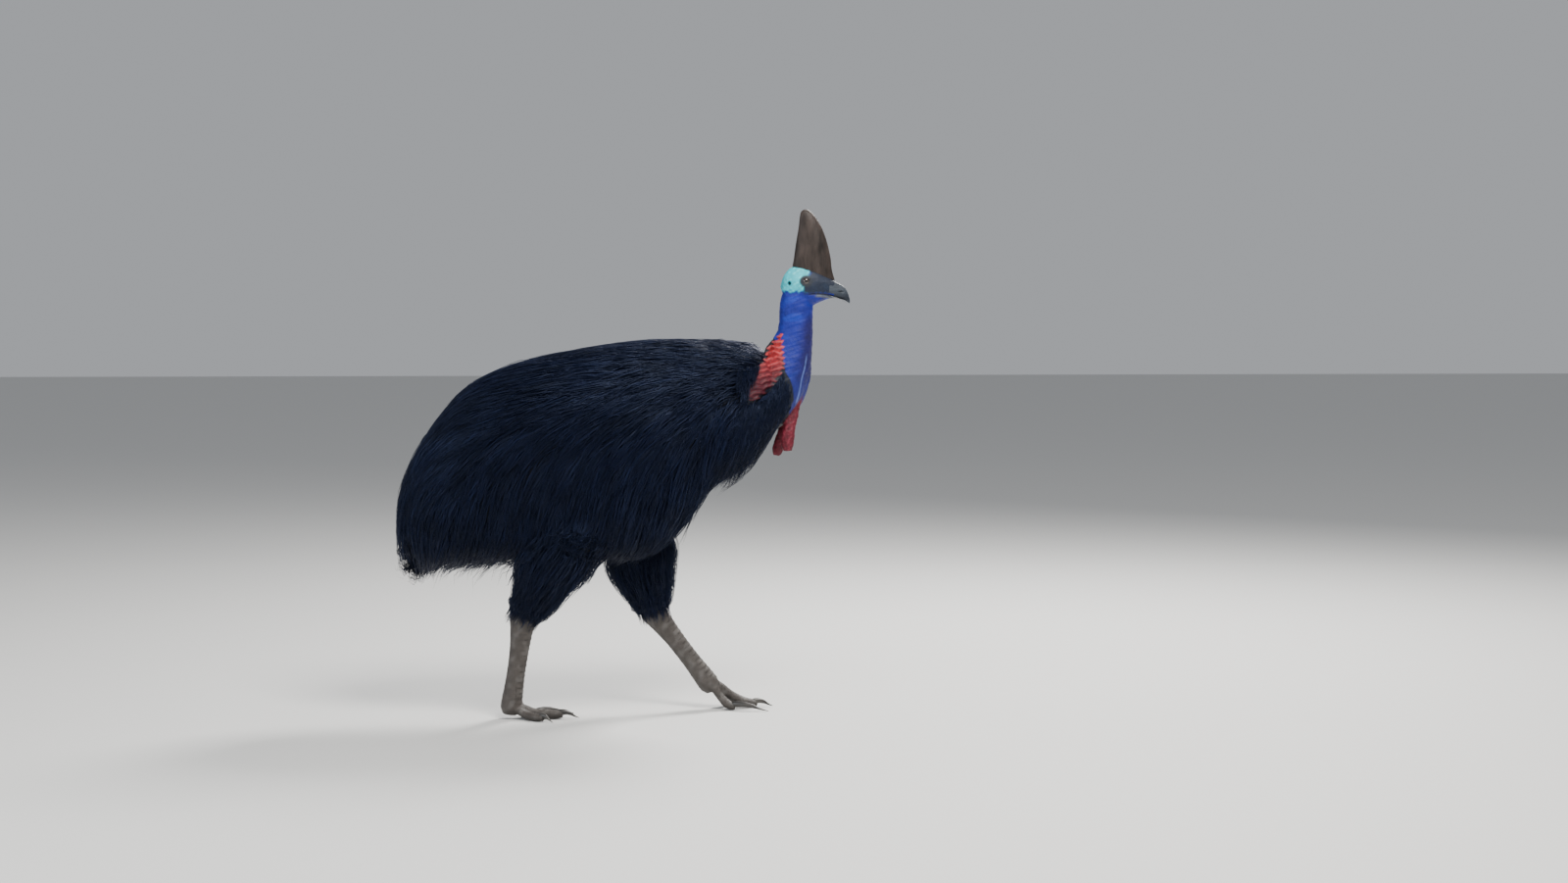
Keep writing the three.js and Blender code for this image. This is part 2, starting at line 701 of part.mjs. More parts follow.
// Tiers of locks from the breast to the rump, each tier's roots under the tips of the one ahead.
function coatLocks() {
  const draw = drawsFrom(23);
  const spines = [];
  const rows = Math.round((LOCK_ROWS.last - LOCK_ROWS.first) / LOCK_ROWS.step);
  for (let row = 0; row <= rows; row += 1) {
    const x = LOCK_ROWS.last - row * LOCK_ROWS.step;
    const high = (sizeAt(CORE, "top", x) - sizeAt(CORE, "bottom", x)) / 2;
    const wide = sizeAt(CORE, "side", x);
    const count = Math.max(3, Math.round((high + wide) * 1.16 / LOCK_WIDTH));
    for (const { sign } of SIDES) {
      for (let j = 0; j < count; j += 1) {
        const share = (j + (row % 2 ? 0.75 : 0.25)) / count;
        const turn = mix(Math.PI / 2, -Math.PI * 0.42, share);
        const ring = sectionRing(
          { top: sizeAt(CORE, "top", x), bottom: sizeAt(CORE, "bottom", x), side: wide },
          x, 360, 0, HANGING,
        );
        const at = ring[(Math.round(THREE.MathUtils.radToDeg(turn)) + 360) % 360].clone();
        at.y *= sign;
        at.x += draw(-22, 22);
        if (inBarePatch(at, 26)) continue;
        const length = draw(0.85, 1.1) * mix(225, 285, clamp(-x / 500, 0, 1)) * (x > 380 ? 0.7 : 1);
        const sway = draw(-0.16, 0.16);
        const width = LOCK_WIDTH * draw(0.7, 0.86) * (x > 380 ? 0.8 : 1);
        spines.push({ spine: coatSpine(at, length, sway), width, thick: draw(6.5, 8.5) });
      }
    }
  }
  return spines;
}
const neckForm = (grow = 0) =>
  joined([limb(NECK, { steps: 14, sides: 18, grow }), limb(THROAT_FOLD, { steps: 7, sides: 10, grow })]);
const headForm = (grow = 0) =>
  uprightLoft(HEAD, { steps: 11, sides: 16, grow, blunt: { above: 2.1, below: 1.9 } });
const eyeBall = (sign, grow = 0) => ball(v3(EYE.x, sign * EYE.y, EYE.z), EYE_RADIUS + grow, 12);

// A thin blade along the mouth, from the corner under the eye out past the tip of the bill.
function mouthBlade(reachIn) {
  const shape = new THREE.Shape();
  shape.moveTo(MOUTH.gape.x, MOUTH.gape.z);
  shape.quadraticCurveTo(MOUTH.bend.x, MOUTH.bend.z + MOUTH_GAP, MOUTH.tip.x, MOUTH.tip.z + MOUTH_GAP / 2);
  shape.lineTo(MOUTH.tip.x, MOUTH.tip.z - MOUTH_GAP / 2);
  shape.quadraticCurveTo(MOUTH.bend.x, MOUTH.bend.z - MOUTH_GAP / 2, MOUTH.gape.x, MOUTH.gape.z);
  const geometry = new THREE.ExtrudeGeometry(shape, { depth: 100, bevelEnabled: false, curveSegments: 5 });
  geometry.rotateX(Math.PI / 2).translate(0, 50, 0);
  geometry.deleteAttribute("normal");
  geometry.deleteAttribute("uv");
  const blade = solid(geometry);
  if (!reachIn) return blade;
  // On the cheeks the line is only a groove, so the middle of the blade is left out.
  return blade.subtract(uprightLoft(HEAD, { steps: 8, sides: 12, grow: -reachIn }));
}

function lids(sign) {
  const ring = new THREE.TorusGeometry(EYE_RADIUS - 1.6, 3.1, 5, 12);
  ring.scale(1.12, 0.92, 1).rotateX(Math.PI / 2).rotateZ(sign * -0.12);
  ring.translate(EYE.x, sign * (EYE.y + 9.5), EYE.z);
  ring.deleteAttribute("normal");
  ring.deleteAttribute("uv");
  return solid(ring);
}

function head() {
  const ears = SIDES.map(({ sign }) => ball(v3(EAR.x, sign * EAR.y, EAR.z), 6, 8, v3(1, 1, 1.25)));
  const eyes = SIDES.map(({ sign }) => eyeBall(sign, GAP));
  const made = joined([headForm(), ...SIDES.map(({ sign }) => lids(sign))])
    .subtract(joined([...ears, ...eyes]))
    .subtract(mouthBlade(3))
    .trimByPlane([-1, 0, 0], -(BILL_START - GAP));
  return largest(made);
}

function bills() {
  const nostrils = SIDES.map(({ sign }) => {
    return ball(v3(NOSTRIL.x, sign * NOSTRIL.y, NOSTRIL.z), 3.4, 8, v3(2.1, 1, 0.8));
  });
  const whole = uprightLoft(BILL, { steps: 11, sides: 14, blunt: { above: 1.8, below: 1.9 }, ends: 1.5 })
    .trimByPlane([1, 0, 0], BILL_START)
    .subtract(joined(nostrils))
    .subtract(casqueBlade(GAP));
  const halves = whole.subtract(mouthBlade(0)).decompose();
  halves.sort((a, b) => b.boundingBox().max[2] - a.boundingBox().max[2]);
  const upper = halves.reduce((a, b) => (b.volume() > a.volume() ? b : a));
  const lower = halves.filter((h) => h !== upper).reduce((a, b) => (b.volume() > a.volume() ? b : a));
  return { upper, lower };
}

const finishes = {
  plumage: { color: 0x0b0d14, roughness: 0.62 },
  blueSkin: { color: 0x2438c8, roughness: 0.6 },
  paleSkin: { color: 0x58c6cf, roughness: 0.6 },
  redSkin: { color: 0xb8303c, roughness: 0.55 },
  casque: { color: 0x4a3c34, roughness: 0.5 },
  bill: { color: 0x2c323a, roughness: 0.45 },
  eye: { color: 0x30180a, roughness: 0.1 },
  scales: { color: 0x5c564c, roughness: 0.7 },
  claw: { color: 0x1e1c1a, roughness: 0.4 },
};

const bird = new THREE.Group();
function add(name, made, finish) {
  const material = new THREE.MeshStandardMaterial({ ...finishes[finish], metalness: 0 });
  const mesh = new THREE.Mesh(geometryOf(made), material);
  mesh.name = name;
  bird.add(mesh);
}

const legCutters = SIDES.map(({ name }) => shank(LEGS[name], GAP, SHANK_COAT));
const patchCuts = joined(SIDES.map(({ sign }) => barePatchCut(sign)));
const neckWhole = neckForm().subtract(headForm(GAP)).subtract(patchCuts);
const [neckLower, neckUpper] = partedBy(neckWhole, NECK_CUT.normal, NECK_CUT.offset);
const wattles = SIDES.map(({ name, sign }) => {
  return { name, made: wattle(sign).subtract(neckForm(GAP)), grown: wattle(sign, GAP) };
});
const [tailCore, bodyCore] = partedBy(torsoCore(), TAIL_CUT.normal, TAIL_CUT.offset);
const isAhead = (p) => p.dot(TAIL_CUT.normal) > TAIL_CUT.offset;
const locks = coatLocks();
const bodyLocks = locks.filter(({ spine }) => isAhead(spine[0].at));
const tailLocks = locks.filter(({ spine }) => !isAhead(spine[0].at));
const overlapping = bodyLocks.filter(({ spine }) => !isAhead(spine[spine.length - 1].at));
const clearOfNeck = joined([neckForm(GAP), ...wattles.map((w) => w.grown), patchCuts]);
const torso = joined([bodyCore, ...bodyLocks.map(({ spine, ...size }) => lock(spine, size))])
  .subtract(clearOfNeck)
  .subtract(joined(legCutters));
const tail = joined([tailCore, ...tailLocks.map(({ spine, ...size }) => lock(spine, size))])
  .subtract(joined(overlapping.map(({ spine, ...size }) => lock(spine, { ...size, grow: GAP }))))
  .subtract(joined(legCutters));
add("torso", largest(torso), "plumage");
add("tail", largest(tail), "plumage");
add("neck_lower", largest(neckLower), "blueSkin");
add("neck_upper", largest(neckUpper), "blueSkin");
for (const { name, sign } of SIDES) add(`nape_${name}`, largest(nape(sign)), "redSkin");
for (const w of wattles) add(`wattle_${w.name}`, largest(w.made), "redSkin");

const headMade = head();
add("head", headMade, "paleSkin");
const { upper, lower } = bills();
add("bill_upper", upper, "bill");
add("bill_lower", lower, "bill");
add("casque", largest(casqueBlade().subtract(headForm(GAP))), "casque");
for (const { name, sign } of SIDES) add(`eye_${name}`, eyeBall(sign), "eye");

for (const { name, sign } of SIDES) {
  const leg = LEGS[name];
  const toes = TOES.map((toe) => {
    return { toe, made: floorCut(toeWithScutes(leg, sign, toe)), claw: clawShape(leg, sign, toe) };
  });
  const shin = tarsus(leg);
  const trouser = joined([shank(leg, 0, SHANK_CORE), ...shankLocks(leg, sign + 5)]);
  add(`shank_${name}`, largest(trouser.subtract(tarsus(leg, GAP))), "plumage");
  add(`tarsus_${name}`, largest(floorCut(shin)), "scales");
  toes.forEach(({ toe, made, claw }, i) => {
    const before = toes.slice(0, i).map((t) => toeWithScutes(leg, sign, t.toe, GAP));
    const clear = joined([tarsus(leg, GAP), clawShape(leg, sign, toe, GAP), ...before]);
    add(`toe_${toe.name}_${name}`, largest(made.subtract(clear)), "scales");
    add(`claw_${toe.name}_${name}`, largest(floorCut(claw)), "claw");
  });
}

// The origin goes to the middle of the footprint of the whole bird, on the floor.
const reach = new THREE.Box3().setFromObject(bird);
const middle = reach.getCenter(v3(0, 0, 0));
bird.position.set(-middle.x, -middle.y, -reach.min.z);

export default bird;
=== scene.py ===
"""The dress of a life-size walking cassowary: skin, coat, horn, eyes, floor and light."""

import math

import bmesh
import bpy
import numpy as np
from bpy.props import FloatProperty, FloatVectorProperty, IntProperty, PointerProperty
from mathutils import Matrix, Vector


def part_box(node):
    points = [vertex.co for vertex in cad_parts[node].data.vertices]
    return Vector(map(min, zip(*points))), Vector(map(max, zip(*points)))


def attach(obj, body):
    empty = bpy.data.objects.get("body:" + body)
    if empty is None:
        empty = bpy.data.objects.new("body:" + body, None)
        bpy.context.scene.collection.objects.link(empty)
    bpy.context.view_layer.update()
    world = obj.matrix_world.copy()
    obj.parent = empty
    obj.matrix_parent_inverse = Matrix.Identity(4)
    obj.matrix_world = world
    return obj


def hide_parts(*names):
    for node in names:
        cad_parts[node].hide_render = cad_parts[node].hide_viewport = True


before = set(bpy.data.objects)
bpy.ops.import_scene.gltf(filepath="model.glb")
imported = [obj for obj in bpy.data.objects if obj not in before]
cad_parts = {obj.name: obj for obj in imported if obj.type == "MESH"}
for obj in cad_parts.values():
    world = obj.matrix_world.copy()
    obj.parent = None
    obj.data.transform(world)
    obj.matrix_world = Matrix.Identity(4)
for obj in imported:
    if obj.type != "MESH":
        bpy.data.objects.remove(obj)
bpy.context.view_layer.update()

bl_info = {
    "name": "Walking Cassowary",
    "version": (1, 0, 0),
    "blender": (4, 5, 0),
    "location": "View3D > Sidebar > Cassowary",
    "description": "Dresses the cassowary's frame with its skin, coat, horn and eyes",
    "category": "Object",
}

# Places are in millimetres from the bird's own floor line and hip, as in the part's source.
HEAD = [
    (537, 1362, 1342, 5), (546, 1387, 1318, 21), (567, 1410, 1298, 32), (597, 1415, 1288, 36),
    (627, 1409, 1289, 35), (655, 1399, 1301, 30), (682, 1384, 1312, 22), (704, 1371, 1315, 16),
]
BILL = [
    (687, 1381, 1312, 21), (704, 1370, 1314, 16.5), (720, 1361, 1313, 12.5), (736, 1350, 1309, 9.5),
    (746, 1335, 1303, 6.5), (753, 1314, 1298, 2.5),
]
CASQUE = [
    (1372, 590, 706, 15), (1404, 573, 697, 19), (1440, 577, 693, 19), (1490, 584, 682, 17),
    (1537, 592, 665, 14), (1570, 596, 645, 11), (1586, 600, 631, 7.5), (1592, 607, 622, 3.5),
]
CASQUE_LEAN, CASQUE_TIPS = 7, ((648, 0, 1371), (614.5, 7, 1594))
COAT = [
    (-668, 640, 530, 26), (-652, 735, 478, 82), (-600, 848, 462, 130), (-526, 957, 457, 162),
    (-437, 1048, 456, 187), (-295, 1114, 460, 212), (-150, 1148, 464, 223), (0, 1174, 462, 226),
    (110, 1186, 472, 222), (208, 1189, 534, 208), (323, 1184, 688, 182), (421, 1176, 756, 148),
    (489, 1156, 850, 112), (530, 1108, 926, 84), (560, 1064, 970, 52), (572, 1036, 990, 22),
]
CORE_DEPTH = (15, 66, 30)
CORE = (
    [(-622, 752, 575, 48)]
    + [
        (x, top - CORE_DEPTH[0], bottom + CORE_DEPTH[1], side - CORE_DEPTH[2])
        for x, top, bottom, side in COAT
        if side > 100
    ]
    + [(528, 1082, 952, 54)]
)
BLUNT_ABOVE, BLUNT_BELOW = 2.1, 2.7
NECK = [
    (430, 925, 62, 70, 78), (488, 985, 86, 88, 86), (534, 1055, 82, 84, 72), (564, 1128, 66, 70, 55),
    (579, 1190, 57, 57, 44), (583, 1240, 53, 53, 39), (584, 1300, 50, 53, 36), (590, 1345, 40, 44, 30),
]
THROAT_FOLD = [
    (588, 1150, 40, 30, 20), (592, 1085, 40, 34, 26), (588, 1030, 32, 30, 25), (582, 990, 22, 20, 21),
    (577, 972, 12, 12, 12),
]
WATTLES = {
    "R": [(594, 1014, 11), (584, 985, 13), (573, 950, 17), (563, 917, 19), (557, 886, 20),
          (555, 856, 19), (555, 836, 13)],
    "L": [(590, 1010, 11), (577, 975, 12), (562, 937, 15), (548, 898, 18), (536, 860, 19),
          (527, 832, 17), (524, 817, 11)],
}
EYE = (613, 23, 1368, 14.5)
# From the pupil to the rim, as shares of the eye's radius.
EYE_TONES = ((0.36, (0.002, 0.002, 0.002)), (0.42, (0.034, 0.013, 0.006)), (0.66, (0.014, 0.006, 0.003)),
             (0.76, (0.004, 0.003, 0.003)))
EAR = (560, 31, 1361)
NOSTRIL = (725, 12, 1335)
MOUTH = ((618, 1325), (688, 1337), (752, 1297))
BARE_NAPE = [
    (521, 1187), (495, 1155), (489, 1134), (471, 1114), (433, 1063), (426, 1034), (429, 1002),
    (451, 999), (480, 1020), (509, 1049), (527, 1075), (539, 1093), (542, 1122), (539, 1151),
    (539, 1187), (535, 1210),
]
SKIN_EDGE = (
    (965, 560), (978, 565), (997, 574), (1034, 571), (1063, 562), (1084, 548), (1122, 541), (1151, 539),
    (1187, 516), (1240, 480),
)
BREAST_EDGE = ((534, 688, 756, 850, 926, 970, 997), (208, 323, 421, 489, 530, 560, 574))
# Folds of the bare nape: how far apart, how steep ahead, and the height of the lowest.
FOLD_STEP, FOLD_RISE, FOLD_START = 17.0, 0.10, 1005.0
PAD_MARGIN = 9
LEGS = {
    "R": {"knee": (-82, -118, 640), "calf": (-192, -94, 470), "hock": (-272, -62, 320),
          "ankle": (-313, -52, 46), "splay": -6, "heel": 0},
    "L": {"knee": (70, 116, 640), "calf": (104, 108, 450), "hock": (136, 98, 314),
          "ankle": (305, 92, 90), "splay": 6, "heel": 1},
}
TARSUS_DEPTH, TARSUS_HALF_WIDTH = 31, 22
TOES = [
    ("inner", 27, 74, 15, 30, 112, 9.5),
    ("middle", 0, 142, 18, 33, 50, 9),
    ("outer", -29, 104, 15, 28, 36, 8),
]
SIDES = (("R", -1), ("L", 1))
SHIN_PLATE, TOE_PLATE = 17, 9.5
WATTLE_LUMPS = 16
# Finest cell of each part of the skin, in metres.
VOXELS = {"head": 0.00275, "body": 0.014, "thighs": 0.008, "feet": 0.0036}

# Colours of the skin, in linear light.
TONES = {
    # The throat tone is painted shade down the front of the neck.
    "neck": (0.0045, 0.012, 0.215), "neck lit": (0.008, 0.034, 0.38), "throat": (0.010, 0.008, 0.085),
    "neck foot": (0.008, 0.016, 0.17), "streak": (0.13, 0.20, 0.52),
    "face": (0.028, 0.46, 0.54), "face lit": (0.12, 0.70, 0.76), "mask": (0.010, 0.017, 0.036),
    # The ear tone is painted shade inside the ear hole.
    "gape": (0.10, 0.115, 0.15), "mouth": (0.010, 0.014, 0.022), "ear": (0.012, 0.016, 0.022),
    "eye ring": (0.016, 0.020, 0.028), "nape low": (0.040, 0.003, 0.011), "nape high": (0.56, 0.030, 0.030),
    # The crests of the nape's folds get a painted highlight, and their furrows get painted shade.
    "lit fold crest": (0.58, 0.135, 0.150), "shaded furrow": (0.075, 0.006, 0.014), "coat shade": (0.004, 0.006, 0.012),
    "wattle": (0.105, 0.006, 0.016), "wattle lit": (0.18, 0.020, 0.036), "wattle dark": (0.07, 0.004, 0.012),
    # Skin under the coat is painted in the shade that the coat casts.
    "shaded skin": (0.004, 0.005, 0.008), "scale": (0.060, 0.052, 0.047), "scale pale": (0.105, 0.098, 0.092),
    "scale edge": (0.022, 0.019, 0.017), "sole": (0.030, 0.026, 0.023),
}
STRAND_COOL, STRAND_WARM = (0.0022, 0.0042, 0.0150), (0.0050, 0.0045, 0.0070)

# Coat: points along a strand, spread of a clump's roots, and how far back the rump may reach.
STRAND_POINTS = 6
CLUMP_SPREAD = 15
REAR_LIMIT = -664
# Each strand's patch of the OFBake map, and where the skin's unwrap lies on it.
PATCH = 0.003
MAP_MARGIN, MAP_SIZE = 0.02, 0.94

# Camera: the picture's size, its focal length and the bird's middle in pixels; then metres and degrees.
PICTURE, FOCAL, BIRD_PIXEL = (1600, 901), 2591, (636, 471)
SENSOR = 36
BIRD_MIDDLE, CAMERA_AWAY, CAMERA_RISE = (0, 0, 0.8), 8, 4
FLOOR_SIZE = 60
WORLD_TONE, WORLD_STRENGTH = (0.92, 0.95, 1, 1), 0.42
# Name, place, size, share of the key light's power, and colour.
LAMPS = (
    ("key", (1.6, -3.4, 5.2), 2.2, 1.0, (1, 0.97, 0.92)),
    ("rim", (2.4, 2.8, 4.2), 1.6, 1.0, (1, 0.98, 0.95)),
    ("fill", (-4.5, -4.0, 2.6), 3.5, 0.35, (0.9, 0.95, 1)),
)

_eye_low, _eye_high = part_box("eye_R")
SHIFT = np.array((_eye_low + _eye_high) / 2) * 1000 - np.array((EYE[0], -EYE[1], EYE[2]))


# ---------------------------------------------------------------- forms

def table(rows):
    return np.array(rows, float)


def size_at(rows, column, x):
    """A smooth value along a table of stations."""
    rows = table(rows)
    xs, vs = rows[:, 0], rows[:, column]
    x = np.clip(np.asarray(x, float), xs[0], xs[-1])
    slopes = np.empty(len(xs))
    slopes[1:-1] = (vs[2:] - vs[:-2]) / (xs[2:] - xs[:-2])
    slopes[0] = (vs[1] - vs[0]) / (xs[1] - xs[0])
    slopes[-1] = (vs[-1] - vs[-2]) / (xs[-1] - xs[-2])
    i = np.clip(np.searchsorted(xs, x, side="right") - 1, 0, len(xs) - 2)
    span = xs[i + 1] - xs[i]
    t = (x - xs[i]) / span
    return (
        vs[i] * (1 + 2 * t) * (1 - t) ** 2
        + slopes[i] * span * t * (1 - t) ** 2
        + vs[i + 1] * t * t * (3 - 2 * t)
        + slopes[i + 1] * span * t * t * (t - 1)
    )


def curve_at(points, t, even=False):
    """A point on a smooth curve through points, by share of its stations."""
    pts = table(points)
    t = np.atleast_1d(np.asarray(t, float))
    pts = np.vstack([2 * pts[0] - pts[1], pts, 2 * pts[-1] - pts[-2]])
    spans = len(pts) - 3
    p = np.clip(t, 0, 1) * spans
    i = np.minimum(p.astype(int), spans - 1)
    w = (p - i)[:, None]
    p0, p1, p2, p3 = pts[i], pts[i + 1], pts[i + 2], pts[i + 3]
    if even:
        m1, m2 = (p2 - p0) * 0.5, (p3 - p1) * 0.5
    else:
        d0, d1, d2 = (
            np.maximum(((b - a) ** 2).sum(1) ** 0.25, 1e-4)[:, None]
            for a, b in ((p0, p1), (p1, p2), (p2, p3))
        )
        m1 = ((p1 - p0) / d0 - (p2 - p0) / (d0 + d1) + (p2 - p1) / d1) * d1
        m2 = ((p2 - p1) / d1 - (p3 - p1) / (d1 + d2) + (p3 - p2) / d2) * d1
    return (
        p1
        + m1 * w
        + (-3 * p1 + 3 * p2 - 2 * m1 - m2) * w**2
        + (2 * p1 - 2 * p2 + m1 + m2) * w**3
    )


def unit(v):
    return v / np.maximum(np.linalg.norm(v, axis=-1, keepdims=True), 1e-9)


def limb_frame(stations, t, across=(0, 1, 0)):
    """Middle, direction, forward and half sizes at shares of a limb's length."""
    t = np.atleast_1d(np.asarray(t, float))
    at = table([s[0] for s in stations])
    sizes = table([s[1:] for s in stations])
    low, high = np.maximum(t - 1e-4, 0), np.minimum(t + 1e-4, 1)
    along = unit(curve_at(at, high) - curve_at(at, low))
    forward = -unit(np.cross(np.array(across, float), along))
    return curve_at(at, t), along, forward, curve_at(sizes, t, even=True)


def bent(value, power):
    """A power that keeps the sign."""
    return np.sign(value) * np.abs(value) ** power


def limb_rings(stations, steps, sides, grow=0.0, across=(0, 1, 0), roundness=2.1):
    mid, along, forward, size = limb_frame(stations, np.linspace(0, 1, steps + 1), across)
    turn = 2 * np.pi * np.arange(sides) / sides
    c, s = bent(np.cos(turn), 2 / roundness), bent(np.sin(turn), 2 / roundness)
    reach = np.where(s > 0, size[:, :1], size[:, 1:2]) + grow
    rings = (
        mid[:, None]
        + np.array(across, float) * (c * (size[:, 2:3] + grow))[..., None]
        + forward[:, None] * (s * reach)[..., None]
    )
    tips = (mid[0] - along[0] * (1 + grow), mid[-1] + along[-1] * (1 + grow))
    return rings, tips


def section(top, bottom, side, turn, above, below):
    """Across and upright offsets from a section's middle."""
    power = 2 / np.where(np.sin(turn) < 0, below, above)
    return side * bent(np.cos(turn), power), (top - bottom) / 2 * bent(np.sin(turn), power) + (top + bottom) / 2


def upright_rings(rows, steps, sides, blunt=(2.1, 2.1), ends=3.0):
    even = np.linspace(0, 1, steps + 1)
    x = rows[0][0] + (rows[-1][0] - rows[0][0]) * (even * 0.35 + (1 - np.cos(np.pi * even)) / 2 * 0.65)
    turn = 2 * np.pi * np.arange(sides) / sides
    top, bottom, side = (size_at(rows, k, x)[:, None] for k in (1, 2, 3))
    y, z = section(top, bottom, side, turn[None], *blunt)
    rings = np.stack([np.broadcast_to(x[:, None], y.shape), y, z], -1)
    tips = (rings[0].mean(0) - (ends, 0, 0), rings[-1].mean(0) + (ends, 0, 0))
    return rings, tips


def shell(rings, tips):
    """A closed surface through rings, with a fan to a tip at each end."""
    n, m = rings.shape[:2]
    verts = np.vstack([rings.reshape(-1, 3), tips[0], tips[1]])
    grid = np.arange(n * m).reshape(n, m)
    a, b = grid[:-1], np.roll(grid[:-1], -1, 1)
    c, d = np.roll(grid[1:], -1, 1), grid[1:]
    faces = [tuple(f) for f in np.stack([a, b, c, d], -1).reshape(-1, 4).tolist()]
    first, last = grid[0], grid[-1]
    faces += [(int(first[(j + 1) % m]), int(first[j]), n * m) for j in range(m)]
    faces += [(int(last[j]), int(last[(j + 1) % m]), n * m + 1) for j in range(m)]
    return verts, faces


def placed(points):
    """Bird millimetres to metres in the shared frame."""
    return (np.asarray(points) + SHIFT) / 1000


def home(points):
    return np.asarray(points) * 1000 - SHIFT


def object_from(name, shells):
    verts, faces, start = [], [], 0
    for v, f in shells:
        verts.append(placed(v))
        faces += [tuple(i + start for i in face) for face in f]
        start += len(v)
    mesh = bpy.data.meshes.new(name)
    mesh.from_pydata(np.vstack(verts).tolist(), [], faces)
    made = bpy.data.objects.new(name, mesh)
    bpy.context.scene.collection.objects.link(made)
    shaper = bmesh.new()
    shaper.from_mesh(mesh)
    bmesh.ops.recalc_face_normals(shaper, faces=shaper.faces)
    shaper.to_mesh(mesh)
    shaper.free()
    return made


def choose(made):
    bpy.ops.object.select_all(action="DESELECT")
    made.select_set(True)
    bpy.context.view_layer.objects.active = made


def fused(made, voxel, smooth=2):
    """Runs the shells of an object together into one even skin."""
    choose(made)
    bpy.ops.object.modifier_add(type="REMESH")
    remesh = made.modifiers[-1]
    remesh.mode = "VOXEL"
    remesh.voxel_size = voxel
    bpy.ops.object.modifier_apply(modifier=remesh.name)
    if smooth:
        bpy.ops.object.modifier_add(type="SMOOTH")
        made.modifiers[-1].factor = 0.5
        made.modifiers[-1].iterations = smooth
        bpy.ops.object.modifier_apply(modifier=made.modifiers[-1].name)
    return made


def smooth_shaded(made, angle=None):
    choose(made)
    if angle is None:
        bpy.ops.object.shade_smooth()
    else:
        bpy.ops.object.shade_smooth_by_angle(angle=math.radians(angle))
    made.select_set(False)


def places_of(mesh, kind="co"):
    got = np.empty(len(mesh.vertices) * 3)
    mesh.vertices.foreach_get(kind, got)
    return got.reshape(-1, 3)


def set_places(mesh, places):
    mesh.vertices.foreach_set("co", places.ravel())
    mesh.update()


def step(low, high, value):
    t = np.clip((value - low) / (high - low), 0, 1)
    return t * t * (3 - 2 * t)


def waves(p, scale, seed):
    """A repeatable soft noise between -1 and 1, from a few turned sine waves."""
    draw = np.random.default_rng(seed)
    total = np.zeros(len(p))
    for _ in range(7):
        way = unit(draw.normal(size=3))
        total += np.sin(p @ way * (2 * np.pi / (scale * draw.uniform(0.6, 1.6))) + draw.uniform(0, 6.3))
    return total / 4


def bell(v):
    return np.exp(-(v**2))


# ---------------------------------------------------------------- stations of each form

def upright_stations(rows):
    """Stations of a form on the middle plane, from x, z and its half sizes ahead, behind and across."""
    return [((x, 0, z), ahead, behind, side) for x, z, ahead, behind, side in rows]


def wattle_stations(name, sign):
    lobe = WATTLES[name]
    made = []
    for i, (x, z, half) in enumerate(lobe):
        y = sign * (13 + 23 * min(1, i / 4))
        thin = 0.62 - 0.1 * i / (len(lobe) - 1)
        made.append(((x, y, z), half, half, half * thin))
    return made


def shank_stations(leg, coat):
    knee, calf, hock = (np.array(leg[k], float) for k in ("knee", "calf", "hock"))
    thigh = (knee + calf) / 2
    low = calf + (hock - calf) * 0.6
    cuff = calf + (hock - calf) * 0.86
    thin = coat * 0.7
    return [
        (knee, 92, 92, 70), (thigh, 98 + coat, 98 + coat, 76 + coat),
        (calf, 78 + coat, 88 + coat, 64 + coat), (low, 50 + thin, 50 + thin, 40 + thin),
        (cuff, 38, 40, 30), (hock, 36, 40, 29),
    ]


def tarsus_stations(leg):
    hock, ankle = (np.array(leg[k], float) for k in ("hock", "ankle"))
    d, w = TARSUS_DEPTH, TARSUS_HALF_WIDTH
    rows = [
        (-0.1, d, d, w), (0, d + 8, d + 12, w + 8), (0.16, d + 3, d + 6, w + 3),
        (0.4, d - 1, d - 1, w - 2), (0.7, d - 2, d - 2, w - 1), (0.92, d + 1, d + 1, w + 7),
        (1.04, d + 1, d + 2, w + 10), (1.12, d - 10, d - 8, w - 2),
    ]
    return [(hock + (ankle - hock) * t, a, b, s) for t, a, b, s in rows]


def toe_frame(leg, sign, turn):
    a = math.radians(leg["splay"] - sign * turn)
    return np.array((math.cos(a), math.sin(a), 0)), np.array((-math.sin(a), math.cos(a), 0))


def toe_stations(leg, sign, toe):
    _, turn, length, width, height, _, _ = toe
    along, _ = toe_frame(leg, sign, turn)
    start = np.array(leg["ankle"], float)
    flat = height / 2 - 2
    drop = (1, 0.78, 0.4, 0.1, 0, 0) if leg["heel"] else (1, 0.5, 0.12, 0, 0, 0)
    made = []
    for r, down, thick in zip((-0.02, 0.22, 0.46, 0.7, 0.9, 1), drop, (0.82, 0.94, 0.84, 0.94, 0.82, 0.62)):
        p = start + along * (r * (length + 20))
        p[2] = flat + (start[2] - flat) * down
        made.append((p, height / 2 * thick, height / 2 * thick, width * thick * 1.06))
    return made


def claw_stations(leg, sign, toe):
    _, turn, _, _, _, claw, r = toe
    along, _ = toe_frame(leg, sign, turn)
    root = np.array(toe_stations(leg, sign, toe)[-1][0], float)
    made = []
    for i, size in enumerate((1, 1.05, 0.86, 0.6, 0.3, 0.1)):
        t = i / 5
        p = root + along * (-16 + (claw + 16) * t)
        arch = math.sin(math.pi * min(1, t * 1.25)) * 5 - 14 * t * t
        p[2] = max(root[2] + 4 + arch, r * size * 0.6 + 1.4)
        made.append((p, r * size, r * size, r * size * 0.86))
    return made


def reach_in(rows, p):
    """How far out a point lies in a body's section: 1 is on its surface."""
    top, bottom, side = (size_at(rows, k, p[..., 0]) for k in (1, 2, 3))
    mid = (top + bottom) / 2
    power = np.where(p[..., 2] < mid, BLUNT_BELOW, BLUNT_ABOVE)
    across = np.abs(p[..., 1] / side) ** power
    upright = np.abs((p[..., 2] - mid) / ((top - bottom) / 2)) ** power
    return (across + upright) ** (1 / power)


